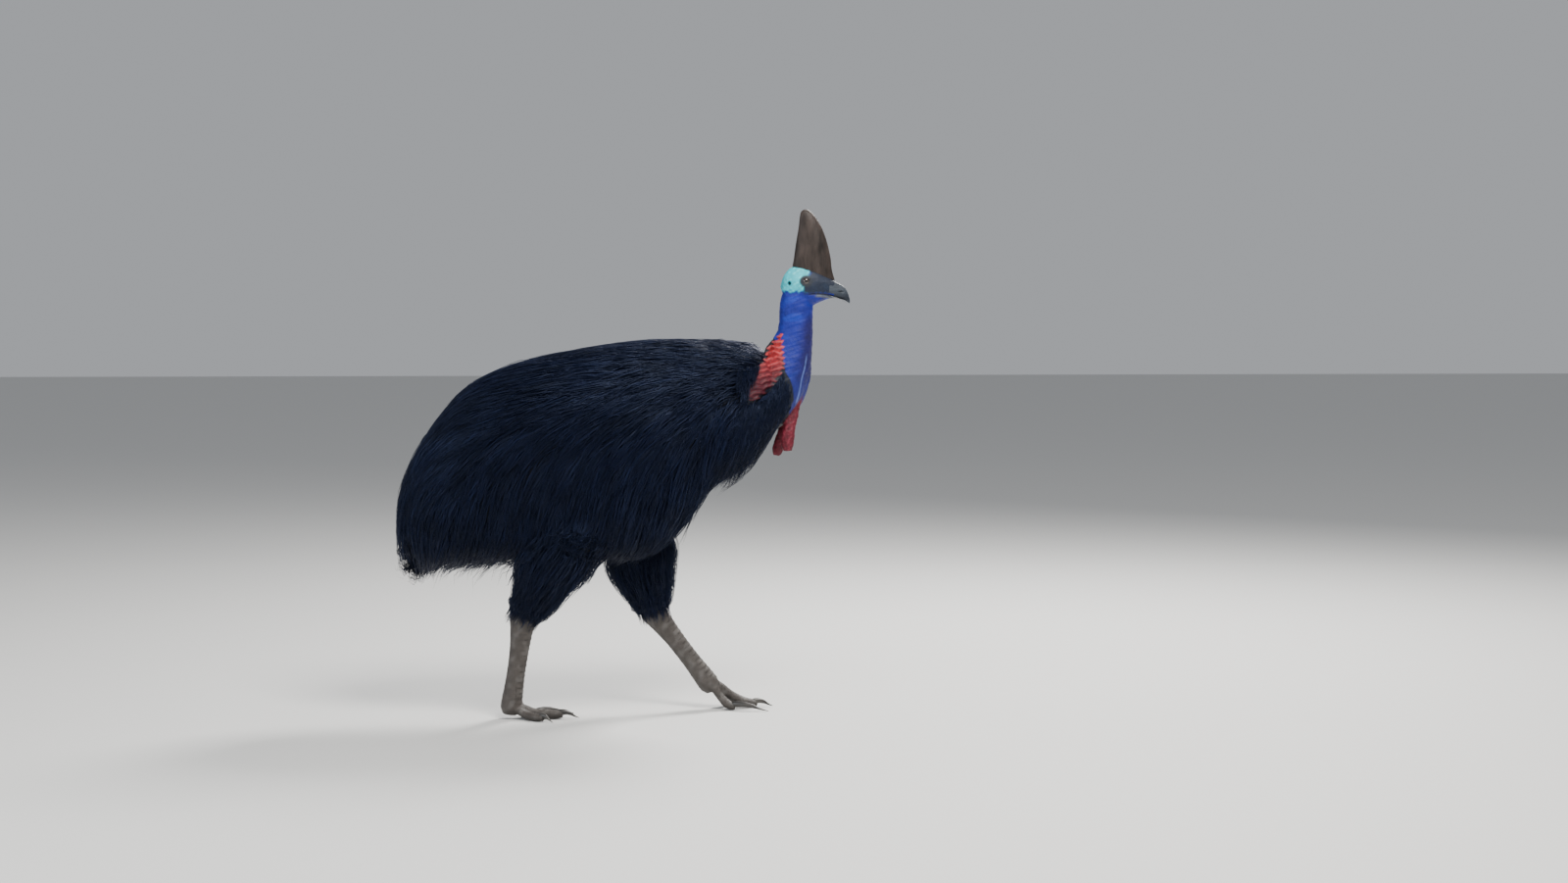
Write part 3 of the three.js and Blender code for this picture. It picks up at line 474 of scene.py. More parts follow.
def way_out(rows, p):
    change = []
    for axis in range(3):
        d = np.zeros(3)
        d[axis] = 4
        change.append(reach_in(rows, p + d) - reach_in(rows, p - d))
    return unit(np.stack(change, -1))


def in_outline(outline, x, z):
    """Distance inside an outline seen from the side, below zero outside it."""
    pts = table(outline)
    inside = np.zeros(len(x), bool)
    near = np.full(len(x), 1e9)
    for (x0, z0), (x1, z1) in zip(pts, np.roll(pts, -1, 0)):
        dx, dz = x1 - x0, z1 - z0
        crosses = (z0 > z) != (z1 > z)
        inside ^= crosses & (x < dx * (z - z0) / (dz + 1e-12) + x0)
        along = np.clip(((x - x0) * dx + (z - z0) * dz) / (dx**2 + dz**2), 0, 1)
        near = np.minimum(near, np.hypot(x - x0 - along * dx, z - z0 - along * dz))
    return np.where(inside, near, -near)


def mouth_height(x):
    """Height of the line of the mouth at a place along the head."""
    (x0, z0), (x1, z1), (x2, z2) = MOUTH
    t = np.linspace(0, 1, 80)
    xs = (1 - t) ** 2 * x0 + 2 * t * (1 - t) * x1 + t * t * x2
    zs = (1 - t) ** 2 * z0 + 2 * t * (1 - t) * z1 + t * t * z2
    return np.interp(x, xs, zs)


# ---------------------------------------------------------------- materials

def node(nodes, kind, inputs=None, **settings):
    """Adds a shader node with its settings and the values of its sockets."""
    made = nodes.new(kind)
    for key, value in settings.items():
        setattr(made, key, value)
    for key, value in (inputs or {}).items():
        made.inputs[key].default_value = value
    return made


def grain_group():
    """A node group: uneven tone and a fine height from the piece's own coordinates."""
    known = bpy.data.node_groups.get("Uneven grain")
    if known:
        return known
    group = bpy.data.node_groups.new("Uneven grain", "ShaderNodeTree")
    new = group.interface.new_socket
    new("Coarse", in_out="INPUT", socket_type="NodeSocketFloat").default_value = 20
    new("Fine", in_out="INPUT", socket_type="NodeSocketFloat").default_value = 180
    new("Stretch", in_out="INPUT", socket_type="NodeSocketVector").default_value = (1, 1, 1)
    new("Tone", in_out="OUTPUT", socket_type="NodeSocketFloat")
    new("Height", in_out="OUTPUT", socket_type="NodeSocketFloat")
    nodes, link = group.nodes, group.links.new
    given, given_out = nodes.new("NodeGroupInput"), nodes.new("NodeGroupOutput")
    place = nodes.new("ShaderNodeTexCoord")
    scale = node(nodes, "ShaderNodeVectorMath", operation="MULTIPLY")
    link(place.outputs["Object"], scale.inputs[0])
    link(given.outputs["Stretch"], scale.inputs[1])
    for size, detail, result in (("Coarse", 4, "Tone"), ("Fine", 3, "Height")):
        noise = node(nodes, "ShaderNodeTexNoise", {"Detail": detail})
        link(scale.outputs[0], noise.inputs["Vector"])
        link(given.outputs[size], noise.inputs["Scale"])
        link(noise.outputs[0], given_out.inputs[result])
    return group


def finish(name, dark, pale, roughness, bump=0.3, coarse=20, fine=180, stretch=(1, 1, 1), attribute=None,
           coat=0.0, specular=0.5, cells=0.0, depth=0.001, spread=(0.35, 0.65), gloss=(1, 1, 1)):
    """Two tones mixed by an uneven grain, over the piece's own painted colour where it has one."""
    made = bpy.data.materials.get(name)
    if made:
        return made
    made = bpy.data.materials.new(name)
    made.use_nodes = True
    nodes, link = made.node_tree.nodes, made.node_tree.links.new
    skin = nodes["Principled BSDF"]
    grain = node(nodes, "ShaderNodeGroup", node_tree=grain_group())
    for key, value in (("Coarse", coarse), ("Fine", fine), ("Stretch", stretch)):
        grain.inputs[key].default_value = value
    tone = node(nodes, "ShaderNodeMapRange", {"From Min": spread[0], "From Max": spread[1]})
    link(grain.outputs["Tone"], tone.inputs["Value"])
    mix = node(nodes, "ShaderNodeMix", {"A": (*dark, 1), "B": (*pale, 1)}, data_type="RGBA")
    link(tone.outputs["Result"], mix.inputs["Factor"])
    colour = mix.outputs["Result"]
    if attribute:
        paint = node(nodes, "ShaderNodeAttribute", attribute_name=attribute)
        over = node(nodes, "ShaderNodeMix", {"Factor": 1}, data_type="RGBA", blend_type="MULTIPLY")
        link(paint.outputs["Color"], over.inputs["A"])
        link(colour, over.inputs["B"])
        colour = over.outputs["Result"]
    link(colour, skin.inputs["Base Color"])
    low, high = max(roughness - 0.08, 0.03), min(roughness + 0.08, 1)
    rough = node(nodes, "ShaderNodeMapRange", {"To Min": low, "To Max": high})
    link(grain.outputs["Height"], rough.inputs["Value"])
    link(rough.outputs["Result"], skin.inputs["Roughness"])
    if bump:
        raised = node(nodes, "ShaderNodeBump", {"Strength": bump, "Distance": depth})
        height = grain.outputs["Height"]
        if cells:
            place = nodes.new("ShaderNodeTexCoord")
            pores = node(nodes, "ShaderNodeTexVoronoi", {"Scale": cells})
            link(place.outputs["Object"], pores.inputs["Vector"])
            both = node(nodes, "ShaderNodeMath", {1: -1.2}, operation="MULTIPLY_ADD")
            link(pores.outputs["Distance"], both.inputs[0])
            link(height, both.inputs[2])
            height = both.outputs[0]
        link(height, raised.inputs["Height"])
        link(raised.outputs["Normal"], skin.inputs["Normal"])
    skin.inputs["Coat Weight"].default_value = coat
    skin.inputs["Coat Roughness"].default_value = 0.08
    skin.inputs["Specular IOR Level"].default_value = specular
    skin.inputs["Specular Tint"].default_value = (*gloss, 1)
    return made


def give(made, material):
    made.data.materials.clear()
    made.data.materials.append(material)
    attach(made, "root")


def painted(mesh, name, colours):
    layer = mesh.color_attributes.new(name, "FLOAT_COLOR", "POINT")
    full = np.ones((len(mesh.vertices), 4))
    full[:, :3] = colours
    layer.data.foreach_set("color", full.ravel())


# ---------------------------------------------------------------- skin

def mixed(colours, others, share):
    return colours * (1 - share)[:, None] + others * share[:, None]


def plain(tone, count):
    return np.tile(TONES[tone], (count, 1))


def blend(colours, tone, share):
    """Lays a named tone over colours by a share for each place."""
    return mixed(colours, np.array(TONES[tone]), np.clip(share, 0, 1))


def nearest_on(p, mid):
    """Index of the station nearest to each place, seen from the side."""
    flat, line = p[:, [0, 2]], mid[:, [0, 2]]
    return np.argmin(((flat[:, None] - line[None]) ** 2).sum(-1), axis=1)


def neck_place(p):
    """Share along the neck and how far back a place lies on it, 1 at the nape and -1 at the throat."""
    t = np.linspace(0, 1, 120)
    mid, _, forward, size = limb_frame(upright_stations(NECK), t)
    near = nearest_on(p, mid)
    away = ((p - mid[near]) * forward[near]).sum(1)
    return t[near], away / np.where(away > 0, size[near, 0], size[near, 1])


def fold_height(x, level):
    """How high a fold of the bare nape lies along its wavy run."""
    wave = 2.6 * np.sin(x / 8.5 + level / 21) + 1.4 * np.sin(x / 3.9 + level / 9)
    return level + FOLD_RISE * (x - 480) + wave


def fold_phase(x, z):
    """1 on the crest of a fold of the bare nape and -1 in a furrow."""
    return np.cos(2 * np.pi * (2 * z - fold_height(x, z) - FOLD_START) / FOLD_STEP)


def section_width(rows, x, z):
    """Half width of a body's section at a height."""
    top, bottom, side = (size_at(rows, k, x) for k in (1, 2, 3))
    mid, half = (top + bottom) / 2, (top - bottom) / 2
    power = np.where(z < mid, BLUNT_BELOW, BLUNT_ABOVE)
    left = 1 - np.minimum(np.abs(z - mid) / half, 1) ** power
    return np.where(x <= rows[-1][0], side * left ** (1 / power), 0)


def flesh_width(x, z):
    """Half width of the bare body, neck and breast together, seen from the side."""
    t, back = neck_place(np.stack([x, np.zeros_like(x), z], -1))
    _, _, _, size = limb_frame(upright_stations(NECK), t)
    neck = size[:, 2] * np.sqrt(np.maximum(1 - back**2, 0))
    return np.maximum(neck, section_width(CORE, x, z))


def pad_grid():
    """Places seen from the side that cover the bare nape and a margin round it, as columns of rows."""
    heights = np.linspace(996, 1218, 112)
    every = np.linspace(405, 560, 311)
    columns = []
    for height in heights:
        held = every[in_outline(BARE_NAPE, every, np.full(len(every), height)) > -PAD_MARGIN]
        columns.append(np.linspace(held[0], held[-1], 60))
    return np.array(columns).T, np.repeat(heights[None], 60, 0)


def pad_shell(x, z, sign, front, back):
    """Closes a front and a back sheet over one grid into a pad."""
    verts = np.vstack([np.stack([x.ravel(), sign * y, z.ravel()], -1) for y in (front, back)])
    ids = np.arange(x.size).reshape(x.shape)
    cells = np.stack([ids[:-1, :-1], ids[1:, :-1], ids[1:, 1:], ids[:-1, 1:]], -1).reshape(-1, 4)
    edge = np.concatenate([ids[:-1, 0], ids[-1, :-1], ids[:0:-1, -1], ids[0, :0:-1]])
    rim = np.stack([edge, edge + x.size, np.roll(edge, -1) + x.size, np.roll(edge, -1)], -1)
    return verts, [tuple(f) for f in np.vstack([cells, cells[:, ::-1] + x.size, rim]).tolist()]


def fold_shell(draw, level, sign):
    """One wavy fold across the bare nape, or nothing where the nape is too short for it."""
    along = np.linspace(414, 556, 143)
    held = along[in_outline(BARE_NAPE, along, fold_height(along, level)) > -1]
    if len(held) < 12:
        return []
    run = np.linspace(held[0] - 1, held[-1] + 7, 14)
    up = fold_height(run, level) + draw.normal(0, 0.6, 14)
    wide = flesh_width(run, up) + 0.8
    rows = []
    for i in range(14):
        r = draw.uniform(4.6, 6.0) * (0.35 + 0.65 * math.sin(math.pi * (i + 1) / 15))
        rows.append((np.array((run[i], sign * wide[i], up[i])), r, r, r))
    return [shell(*limb_rings(rows, 24, 10, across=(0.2, 0, 0.98)))]


def nape_shells():
    """The skin pad of the bare nape on each side, with its folds laid across it."""
    x, z = pad_grid()
    width = flesh_width(x.ravel(), z.ravel())
    mask = step(-PAD_MARGIN, -3, in_outline(BARE_NAPE, x.ravel(), z.ravel()))
    front = np.maximum(width + 1.4 * mask - 16 * (1 - mask), 3)
    back = np.maximum(width - 26, 1)
    draw = np.random.default_rng(4)
    made = []
    for _, sign in SIDES:
        made.append(pad_shell(x, z, sign, front, back))
        for level in np.arange(FOLD_START, 1222, FOLD_STEP):
            made += fold_shell(draw, level, sign)
    return made


def lid_shells():
    """A fold of skin above and below each eye."""
    made = []
    x, y, z, r = EYE
    for _, sign in SIDES:
        for way, opening, thick in ((1, 0.72, 3.1), (-1, 0.66, 2.5)):
            rows = []
            for a in np.linspace(-0.25, math.pi + 0.25, 11) * way:
                out = 1 - 0.35 * abs(math.cos(a)) ** 3
                at = (x + (r + 1.2) * math.cos(a), sign * (y + 8.5 * out), z + (r * opening) * math.sin(a))
                rows.append((at, thick, thick, thick))
            made.append(shell(*limb_rings(rows, 26, 9, across=(0, 1, 0))))
    return made


def wattle_shells(draw, name, sign):
    """One hanging lobe, with soft lumps over it."""
    stations = wattle_stations(name, sign)
    made = [shell(*limb_rings(stations, 40, 24))]
    for _ in range(WATTLE_LUMPS):
        mid, along, forward, size = (part[0] for part in limb_frame(stations, draw.uniform(0.15, 0.97)))
        a = draw.uniform(0, 2 * np.pi)
        at = mid + np.array((0, 1, 0)) * math.cos(a) * size[2] * 0.62 + forward * math.sin(a) * size[0] * 0.7
        r = size[2] * draw.uniform(0.42, 0.62)
        long = along * r * draw.uniform(0.9, 1.8)
        rows = [(at + long * t, r * f, r * f, r * f) for t, f in ((-1, 0.3), (0, 1), (1, 0.3))]
        made.append(shell(*limb_rings(rows, 8, 10)))
    return made


def head_marks(p):
    """What both the relief and the colours go by: the mouth, the cheek, the ear, the nape and its bare patch."""
    x, y, z = p.T
    gap = z - mouth_height(x)
    cheek = step(612, 630, x) * (np.abs(y) > 6)
    ear = np.sqrt((x - EAR[0]) ** 2 + ((z - EAR[2]) / 1.2) ** 2)
    _, back = neck_place(p)
    red = in_outline(BARE_NAPE, x, z) + fold_phase(x, z) * 5 + waves(p, 17, 6) * 1.5
    return gap, cheek, ear, back, red


def head_relief(p, gap, cheek, ear, red):
    """How far the skin of the neck and head rises or sinks at each place."""
    x, y, z = p.T
    # The line of the mouth is drawn in, and the cheek swells a little above and below it.
    push = (0.9 * bell((np.abs(gap) - 5) / 3) - 2.6 * bell(gap / 1.9)) * cheek
    # The ear is a round hole with a low rim behind the eye.
    push += np.where(np.abs(y) > 8, 1.4 * bell((ear - 8) / 2.2) - 9 * bell((ear / 4.6) ** 2), 0)
    # Fine creases run round the neck and over the cheeks, and stop at the bare patch.
    creases = waves(p * (1, 1, 3.2), 34, 3) * 0.9 + waves(p, 9, 5) * 0.35
    push += creases * step(1010, 1060, z) * (1 - 0.55 * step(1330, 1350, z)) * (1 - step(-6, 6, red))
    push += waves(p * (1, 1, 1.6), 6, 12) * 0.55 * step(-4, 4, red)
    # The wattles are uneven.
    return push + waves(p * (1, 1, 0.7), 9, 14) * step(1000, 970, z) * (np.abs(y) > 3) * (x > 500)


def neck_blue(p, back):
    """Cobalt, with painted shade darkening the throat, darker at the foot of the neck, and a thin pale streak
    low on each side.
    """
    x, _, z = p.T
    blue = blend(plain("neck", len(p)), "neck lit", 0.6 * step(0.2, 0.8, waves(p, 60, 21)))
    # Painted shade: the front of the neck is darkened below the head.
    blue = blend(blue, "throat", step(-0.05, 0.75, -back) * step(1300, 1220, z))
    blue = blend(blue, "neck foot", 0.8 * step(1100, 1010, z))
    away = np.abs((x - 600) - (z - 1060) * 0.235 + waves(p, 40, 23) * 2)
    return blend(blue, "streak", 0.6 * step(4.0, 0.5, away) * step(975, 1000, z) * step(1145, 1120, z))


def face_over(colours, p, gap, cheek, ear):
    """The pale face behind the eye, and the dark mask round the eye and along the mouth."""
    x, y, z = p.T
    face = step(632, 618, x + waves(p, 20, 31) * 5) * step(1330, 1343, z + waves(p, 16, 33) * 5)
    colours = blend(colours, "face", face)
    colours = blend(colours, "face lit", face * step(0.15, 0.8, waves(p, 15, 35)) * 0.7)
    mask = step(-6, 8, x - 604 - 20 * step(1366, 1392, z) + waves(p, 12, 37) * 4)
    colours = blend(colours, "mask", mask * step(1322, 1336, z + waves(p, 14, 36) * 3))
    colours = blend(colours, "gape", step(636, 652, x) * step(0, -3, gap) * step(-12, -8, gap))
    colours = blend(colours, "mouth", bell(gap / 2.1) * cheek)
    # Painted shade inside the ear hole.
    colours = blend(colours, "ear", bell((ear / 5.2) ** 2) * (np.abs(y) > 8))
    near_eye = np.sqrt(((x - EYE[0]) / 1.15) ** 2 + (z - EYE[2]) ** 2)
    return blend(colours, "eye ring", step(21, 15, near_eye) * (np.abs(y) > 12))


def nape_over(colours, p, red):
    """The bare patch: bright at the top and dark at the foot, with a painted highlight on its crests and painted
    shade in its furrows.
    """
    x, _, z = p.T
    high = step(1035, 1190, z)
    flame = np.outer(1 - high, TONES["nape low"]) + np.outer(high, TONES["nape high"])
    flame = flame * (0.75 + 0.35 * step(-0.6, 0.8, waves(p, 12, 41)))[:, None]
    phase = fold_phase(x, z) + waves(p, 13, 43) * 0.5
    # Painted highlight on the crests of the folds, strongest at the top, and painted shade in the furrows
    # between them.
    flame = blend(flame, "lit fold crest", (0.10 + 0.52 * high) * step(0.25, 0.95, phase))
    flame = blend(flame, "shaded furrow", 0.8 * step(0.0, -0.8, phase) * (1 - 0.5 * high))
    # Skin that the coat covers is as dark as the coat.
    edge = table(SKIN_EDGE)
    behind = np.interp(z, edge[:, 0], edge[:, 1]) - x
    colours = blend(colours, "coat shade", step(-1, 3, behind) * (z < 1195))
    return mixed(colours, flame, step(-1.5, 2.5, red))


def wattles_over(colours, p):
    crimson = blend(plain("wattle", len(p)), "wattle lit", step(0.1, 0.9, waves(p, 10, 51)))
    crimson = blend(crimson, "wattle dark", step(0.2, 0.9, -waves(p, 13, 53)))
    share = np.zeros(len(p))
    for name, sign in SIDES:
        mid, _, _, size = limb_frame(wattle_stations(name, sign), np.linspace(0, 1, 60))
        away = np.sqrt(((p[:, None] - mid[None]) ** 2).sum(-1))
        share = np.maximum(share, step(6, 1, (away - size[None, :, 0]).min(1)))
    return mixed(colours, crimson, share * step(1012, 990, p[:, 2] + waves(p, 12, 55) * 5))


def neck_and_head():
    shells = [
        shell(*limb_rings(upright_stations(NECK), 60, 64)),
        shell(*limb_rings(upright_stations(THROAT_FOLD), 30, 32)),
        shell(*upright_rings(HEAD, 50, 48, (2.1, 1.9))),
    ]
    shells += nape_shells() + lid_shells()
    draw = np.random.default_rng(9)
    for name, sign in SIDES:
        shells += wattle_shells(draw, name, sign)
    made = fused(object_from("skin_head", shells), VOXELS["head"], 3)
    mesh = made.data
    p, n = home(places_of(mesh)), places_of(mesh, "normal")
    gap, cheek, ear, back, red = head_marks(p)
    p += n * head_relief(p, gap, cheek, ear, red)[:, None]
    set_places(mesh, placed(p))
    colours = face_over(neck_blue(p, back), p, gap, cheek, ear)
    colours = wattles_over(nape_over(colours, p, red), p)
    painted(mesh, "tint", np.clip(colours, 0, 1))
    return made


def shaded_part(name, shells, voxel):
    """Skin that the coat hides, painted dark as the shade under the coat."""
    made = fused(object_from(name, shells), voxel)
    painted(made.data, "tint", plain("shaded skin", len(made.data.vertices)))
    return made


def body_under_coat():
    rings = upright_rings(CORE, 60, 48, (BLUNT_ABOVE, BLUNT_BELOW))
    return shaded_part("skin_body", [shell(*rings)], VOXELS["body"])


def thighs():
    shells = [shell(*limb_rings(shank_stations(LEGS[name], 2), 40, 32)) for name, _ in SIDES]
    return shaded_part("skin_thighs", shells, VOXELS["thighs"])


def foot_relief(p, n):
    """Overlapping plates down the shins and toes, and the share of each place that is a plate's edge."""
    push, plate = np.zeros(len(p)), np.zeros(len(p))
    for name, sign in SIDES:
        leg = LEGS[name]
        hock, ankle = np.array(leg["hock"], float), np.array(leg["ankle"], float)
        along = unit(ankle - hock)
        mine = np.sign(p[:, 1]) == sign
        run, front = (p - hock) @ along, (p - hock) @ -unit(np.cross((0, 1, 0), along))
        on = mine & (run > 20) & (run < np.linalg.norm(ankle - hock) - 8)
        # Broad plates down the front of the shin each have a lifted lower edge, and its back is cobbled.
        phase = (run / SHIN_PLATE) % 1
        wide = step(3, 16, front)
        push += np.where(on, wide * (1.9 * phase - 0.6 - 1.6 * step(0.9, 1, phase)), 0)
        plate += np.where(on, wide * step(0.86, 0.97, phase), 0)
        push += np.where(on, (1 - wide) * (waves(p, 8, 61) * 0.55), 0)
        for toe in TOES:
            toe_along, toe_across = toe_frame(leg, sign, toe[1])
            run = (p - ankle) @ toe_along
            near = np.abs((p - ankle) @ toe_across) < toe[3] * 1.15
            on = mine & near & (run > 26) & (run < toe[2] + 12) & (n[:, 2] > 0.05)
            phase = (run / TOE_PLATE) % 1
            push += np.where(on, 1.2 * phase - 0.3 - 1.1 * step(0.88, 1, phase), 0)
            plate += np.where(on, step(0.84, 0.97, phase), 0)
        push += np.where(mine & (n[:, 2] < -0.4), waves(p, 6, 63) * 0.3, 0)
    return push, plate


def feet():
    shells = []
    for name, sign in SIDES:
        leg = LEGS[name]
        shells.append(shell(*limb_rings(tarsus_stations(leg), 50, 36)))
        for toe in TOES:
            _, across = toe_frame(leg, sign, toe[1])
            shells.append(shell(*limb_rings(toe_stations(leg, sign, toe), 30, 24, across=across)))
    made = fused(object_from("skin_feet", shells), VOXELS["feet"], 3)
    mesh = made.data
    p, n = home(places_of(mesh)), places_of(mesh, "normal")
    push, plate = foot_relief(p, n)
    p += n * push[:, None]
    p[:, 2] = np.maximum(p[:, 2], 0.0)
    set_places(mesh, placed(p))
    colours = blend(plain("scale", len(p)), "scale pale", step(-0.2, 0.9, waves(p, 40, 65)) * 0.7)
    colours = blend(colours, "scale edge", 0.75 * plate)
    colours = blend(colours, "sole", step(30, 4, p[:, 2]) * 0.6)
    painted(mesh, "tint", np.clip(colours, 0, 1))
    return made


def make_skin():
    parts = [neck_and_head(), body_under_coat(), thighs(), feet()]
    bpy.ops.object.select_all(action="DESELECT")
    for part in parts:
        part.select_set(True)
    bpy.context.view_layer.objects.active = parts[0]
    bpy.ops.object.join()
    skin = bpy.context.view_layer.objects.active
    skin.name = "skin"
    smooth_shaded(skin)
    give(skin, finish("creased_skin", (0.72, 0.72, 0.72), (1.0, 1.0, 1.0), 0.55, bump=0.45, coarse=45, fine=420,
                      attribute="tint", cells=330, depth=0.0009, specular=0.28))
    names = ["torso", "tail", "neck_lower", "neck_upper", "head"]
    for name, _ in SIDES:
        names += [f"nape_{name}", f"wattle_{name}", f"shank_{name}", f"tarsus_{name}"]
        names += [f"toe_{toe[0]}_{name}" for toe in TOES]
    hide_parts(*names)
    return skin


# ---------------------------------------------------------------- coat

def hair_mesh(name, spines, across, out, width, shade, unwrap):
    """Joins tapered three-sided strands into one mesh. spines: strands x points x 3."""
    count, points = spines.shape[:2]
    t = np.linspace(0, 1, points)
    taper = np.interp(t, (0, 0.12, 0.6, 1), (0.55, 1, 0.8, 0.12))
    w = width[:, None] * taper[None]
    ring = []
    for a, b in ((-0.5, -0.14), (0.5, -0.14), (0.0, 0.30)):
        ring.append(spines + across * (w * a)[..., None] + out * (w * b)[..., None])
    body = np.stack(ring, 2)[:, : points - 1]
    tips = spines[:, -1]
    per = 3 * (points - 1) + 1
    verts = np.concatenate([body.reshape(count, -1, 3), tips[:, None]], 1)
    faces = [(0, 2, 1)]
    for i in range(points - 2):
        for j in range(3):
            a, b = 3 * i + j, 3 * i + (j + 1) % 3
            faces += [(a, b, b + 3), (a, b + 3, a + 3)]
    last = 3 * (points - 2)
    faces += [(last + j, last + (j + 1) % 3, per - 1) for j in range(3)]
    faces = np.array(faces)
    every = (faces[None] + (np.arange(count) * per)[:, None, None]).reshape(-1)
    mesh = bpy.data.meshes.new(name)
    mesh.vertices.add(count * per)
    mesh.vertices.foreach_set("co", placed(verts.reshape(-1, 3)).ravel())
    mesh.loops.add(len(every))
    mesh.loops.foreach_set("vertex_index", every.astype(np.int32))
    mesh.polygons.add(len(every) // 3)
    mesh.polygons.foreach_set("loop_start", np.arange(0, len(every), 3, dtype=np.int32))
    mesh.update(calc_edges=True)
    # Each strand's patch lies at its root's place on an unwrap of the skin.
    local_u = np.concatenate([np.tile((0.0, PATCH / 2, PATCH), points - 1), [PATCH / 2]])
    local_v = np.concatenate([np.repeat(np.linspace(0, PATCH, points)[:-1], 3), [PATCH]])
    uv = np.stack([unwrap[:, :1] + local_u[None], unwrap[:, 1:] + local_v[None]], -1).reshape(-1, 2)
    layer = mesh.uv_layers.new(name="OFBake")
    layer.data.foreach_set("uv", uv[every].astype(np.float32).ravel())
    tint = np.repeat(shade, per, 0).reshape(count, per, 3)
    rise = np.concatenate([np.repeat(t[:-1], 3), [1]])[None, :, None]
    painted(mesh, "tint", (tint * (0.75 + 0.45 * rise)).reshape(-1, 3))
    mesh.validate()
    made = bpy.data.objects.new(name, mesh)
    bpy.context.scene.collection.objects.link(made)
    return made


def on_map(u, v):
    """Where shares of the skin's unwrap lie on the OFBake map."""
    return np.stack([MAP_MARGIN + MAP_SIZE * u, MAP_MARGIN + MAP_SIZE * v], -1)


def strand_tints(draw, clumps, each):
    """Blue-black strands, some browner, with a shared tone in each clump."""
    tone = draw.uniform(0.55, 1.35, clumps)[:, None] * draw.uniform(0.7, 1.3, (clumps, each))
    brown = draw.uniform(0, 1, (clumps, each, 1)) ** 3 * 0.5
    tints = np.array(STRAND_COOL) * (1 - brown) + np.array(STRAND_WARM) * brown
    return (tone[..., None] * tints).reshape(-1, 3)


def lie_at(p):
    """The coat lies back along the back and falls ever more steeply down the sides and rump."""
    top, bottom = size_at(COAT, 1, p[..., 0]), size_at(COAT, 2, p[..., 0])
    mid = (top + bottom) / 2
    down = step(0, 1.5, (top - p[..., 2]) / (top - mid))
    rump = np.clip((-430 - p[..., 0]) / 200, 0, 1)
    fall = np.radians(10 + 64 * np.maximum(down, rump * 0.8) + 24 * np.clip((-540 - p[..., 0]) / 100, 0, 1))
    along = np.stack([-np.cos(fall), np.zeros_like(fall), -np.sin(fall)], -1)
    out = way_out(COAT, p)
    flat = unit(along - out * (along * out).sum(-1, keepdims=True))
    # At the hem the strands leave the body and hang free.
    hang = step(45, 5, p[..., 2] - bottom) * step(300, 200, p[..., 0])
    return unit(flat * (1 - hang)[..., None] + np.array((-0.12, 0, -1)) * hang[..., None]), out


def coat_roots(draw, clumps):
    """Roots spread evenly by area over the body under the coat, clear of the neck and the bare nape."""
    across, round_body = 260, 200
    xs = np.linspace(-618, 526, across)
    x, turn = np.meshgrid(xs, np.radians(np.linspace(-89, 90, round_body)), indexing="ij")
    top, bottom, side = (size_at(CORE, k, x) for k in (1, 2, 3))
    y, z = section(top, bottom, side, turn, BLUNT_ABOVE, BLUNT_BELOW)
    grid = np.stack([x, y, z], -1)
    du, dv = grid[1:, :-1] - grid[:-1, :-1], grid[:-1, 1:] - grid[:-1, :-1]
    area = np.linalg.norm(np.cross(du, dv), axis=-1)
    # The back, the shoulders and the foot of the neck are covered closely, and the belly thinly.
    x, turn = x[:-1, :-1], turn[:-1, :-1]
    area *= 1 + 0.5 * (turn > 0.35) + 0.5 * (x > 330)
    area *= np.where(turn < -1.15, 0.45, 1) * np.where((x > 445) & (turn > 0.5), 3, 1)
    i, j = np.unravel_index(draw.choice(area.size, clumps, p=(area / area.sum()).ravel()), area.shape)
    a, b = draw.uniform(0, 1, clumps)[:, None], draw.uniform(0, 1, clumps)[:, None]
    roots = grid[i, j] + du[i, j] * a + dv[i, j] * b
    roots[:, 1] *= np.where(draw.uniform(0, 1, clumps) < 0.5, -1, 1)
    unwrap = on_map((i + a[:, 0]) / across, (j + b[:, 0]) / round_body)
    keep = ~bare(roots)
    return roots[keep], unwrap[keep]


def bare(p):
    """Places on the bare skin of the neck and nape, where no strand may lie."""
    flat = p.reshape(-1, 3)
    edge = table(SKIN_EDGE)
    ahead = (flat[:, 0] > np.interp(flat[:, 2], edge[:, 0], edge[:, 1])) & (flat[:, 2] > 962)
    return ((in_outline(BARE_NAPE, flat[:, 0], flat[:, 2]) > -3) | ahead).reshape(p.shape[:-1])


def over_thighs(p):
    """Strands that would pass through a thigh are laid over it."""
    p = p.copy()
    for name, sign in SIDES:
        mid, along, forward, size = limb_frame(shank_stations(LEGS[name], 6), np.linspace(0.0, 0.75, 40))
        near = nearest_on(p, mid)
        away = ((p - mid[near]) * forward[near]).sum(1)
        share = away / np.where(away > 0, size[near, 0], size[near, 1])
        edge = np.abs(mid[near, 1]) + size[near, 2] * np.sqrt(np.maximum(1 - share**2, 0)) + 6
        beside = np.abs(((p - mid[near]) * along[near]).sum(1)) < 40
        out = np.abs(p[:, 1])
        on = (np.sign(p[:, 1]) == sign) & (np.abs(share) < 1) & beside & (out > 60) & (out < edge)
        p[:, 1] = np.where(on, sign * edge, p[:, 1])
    return p


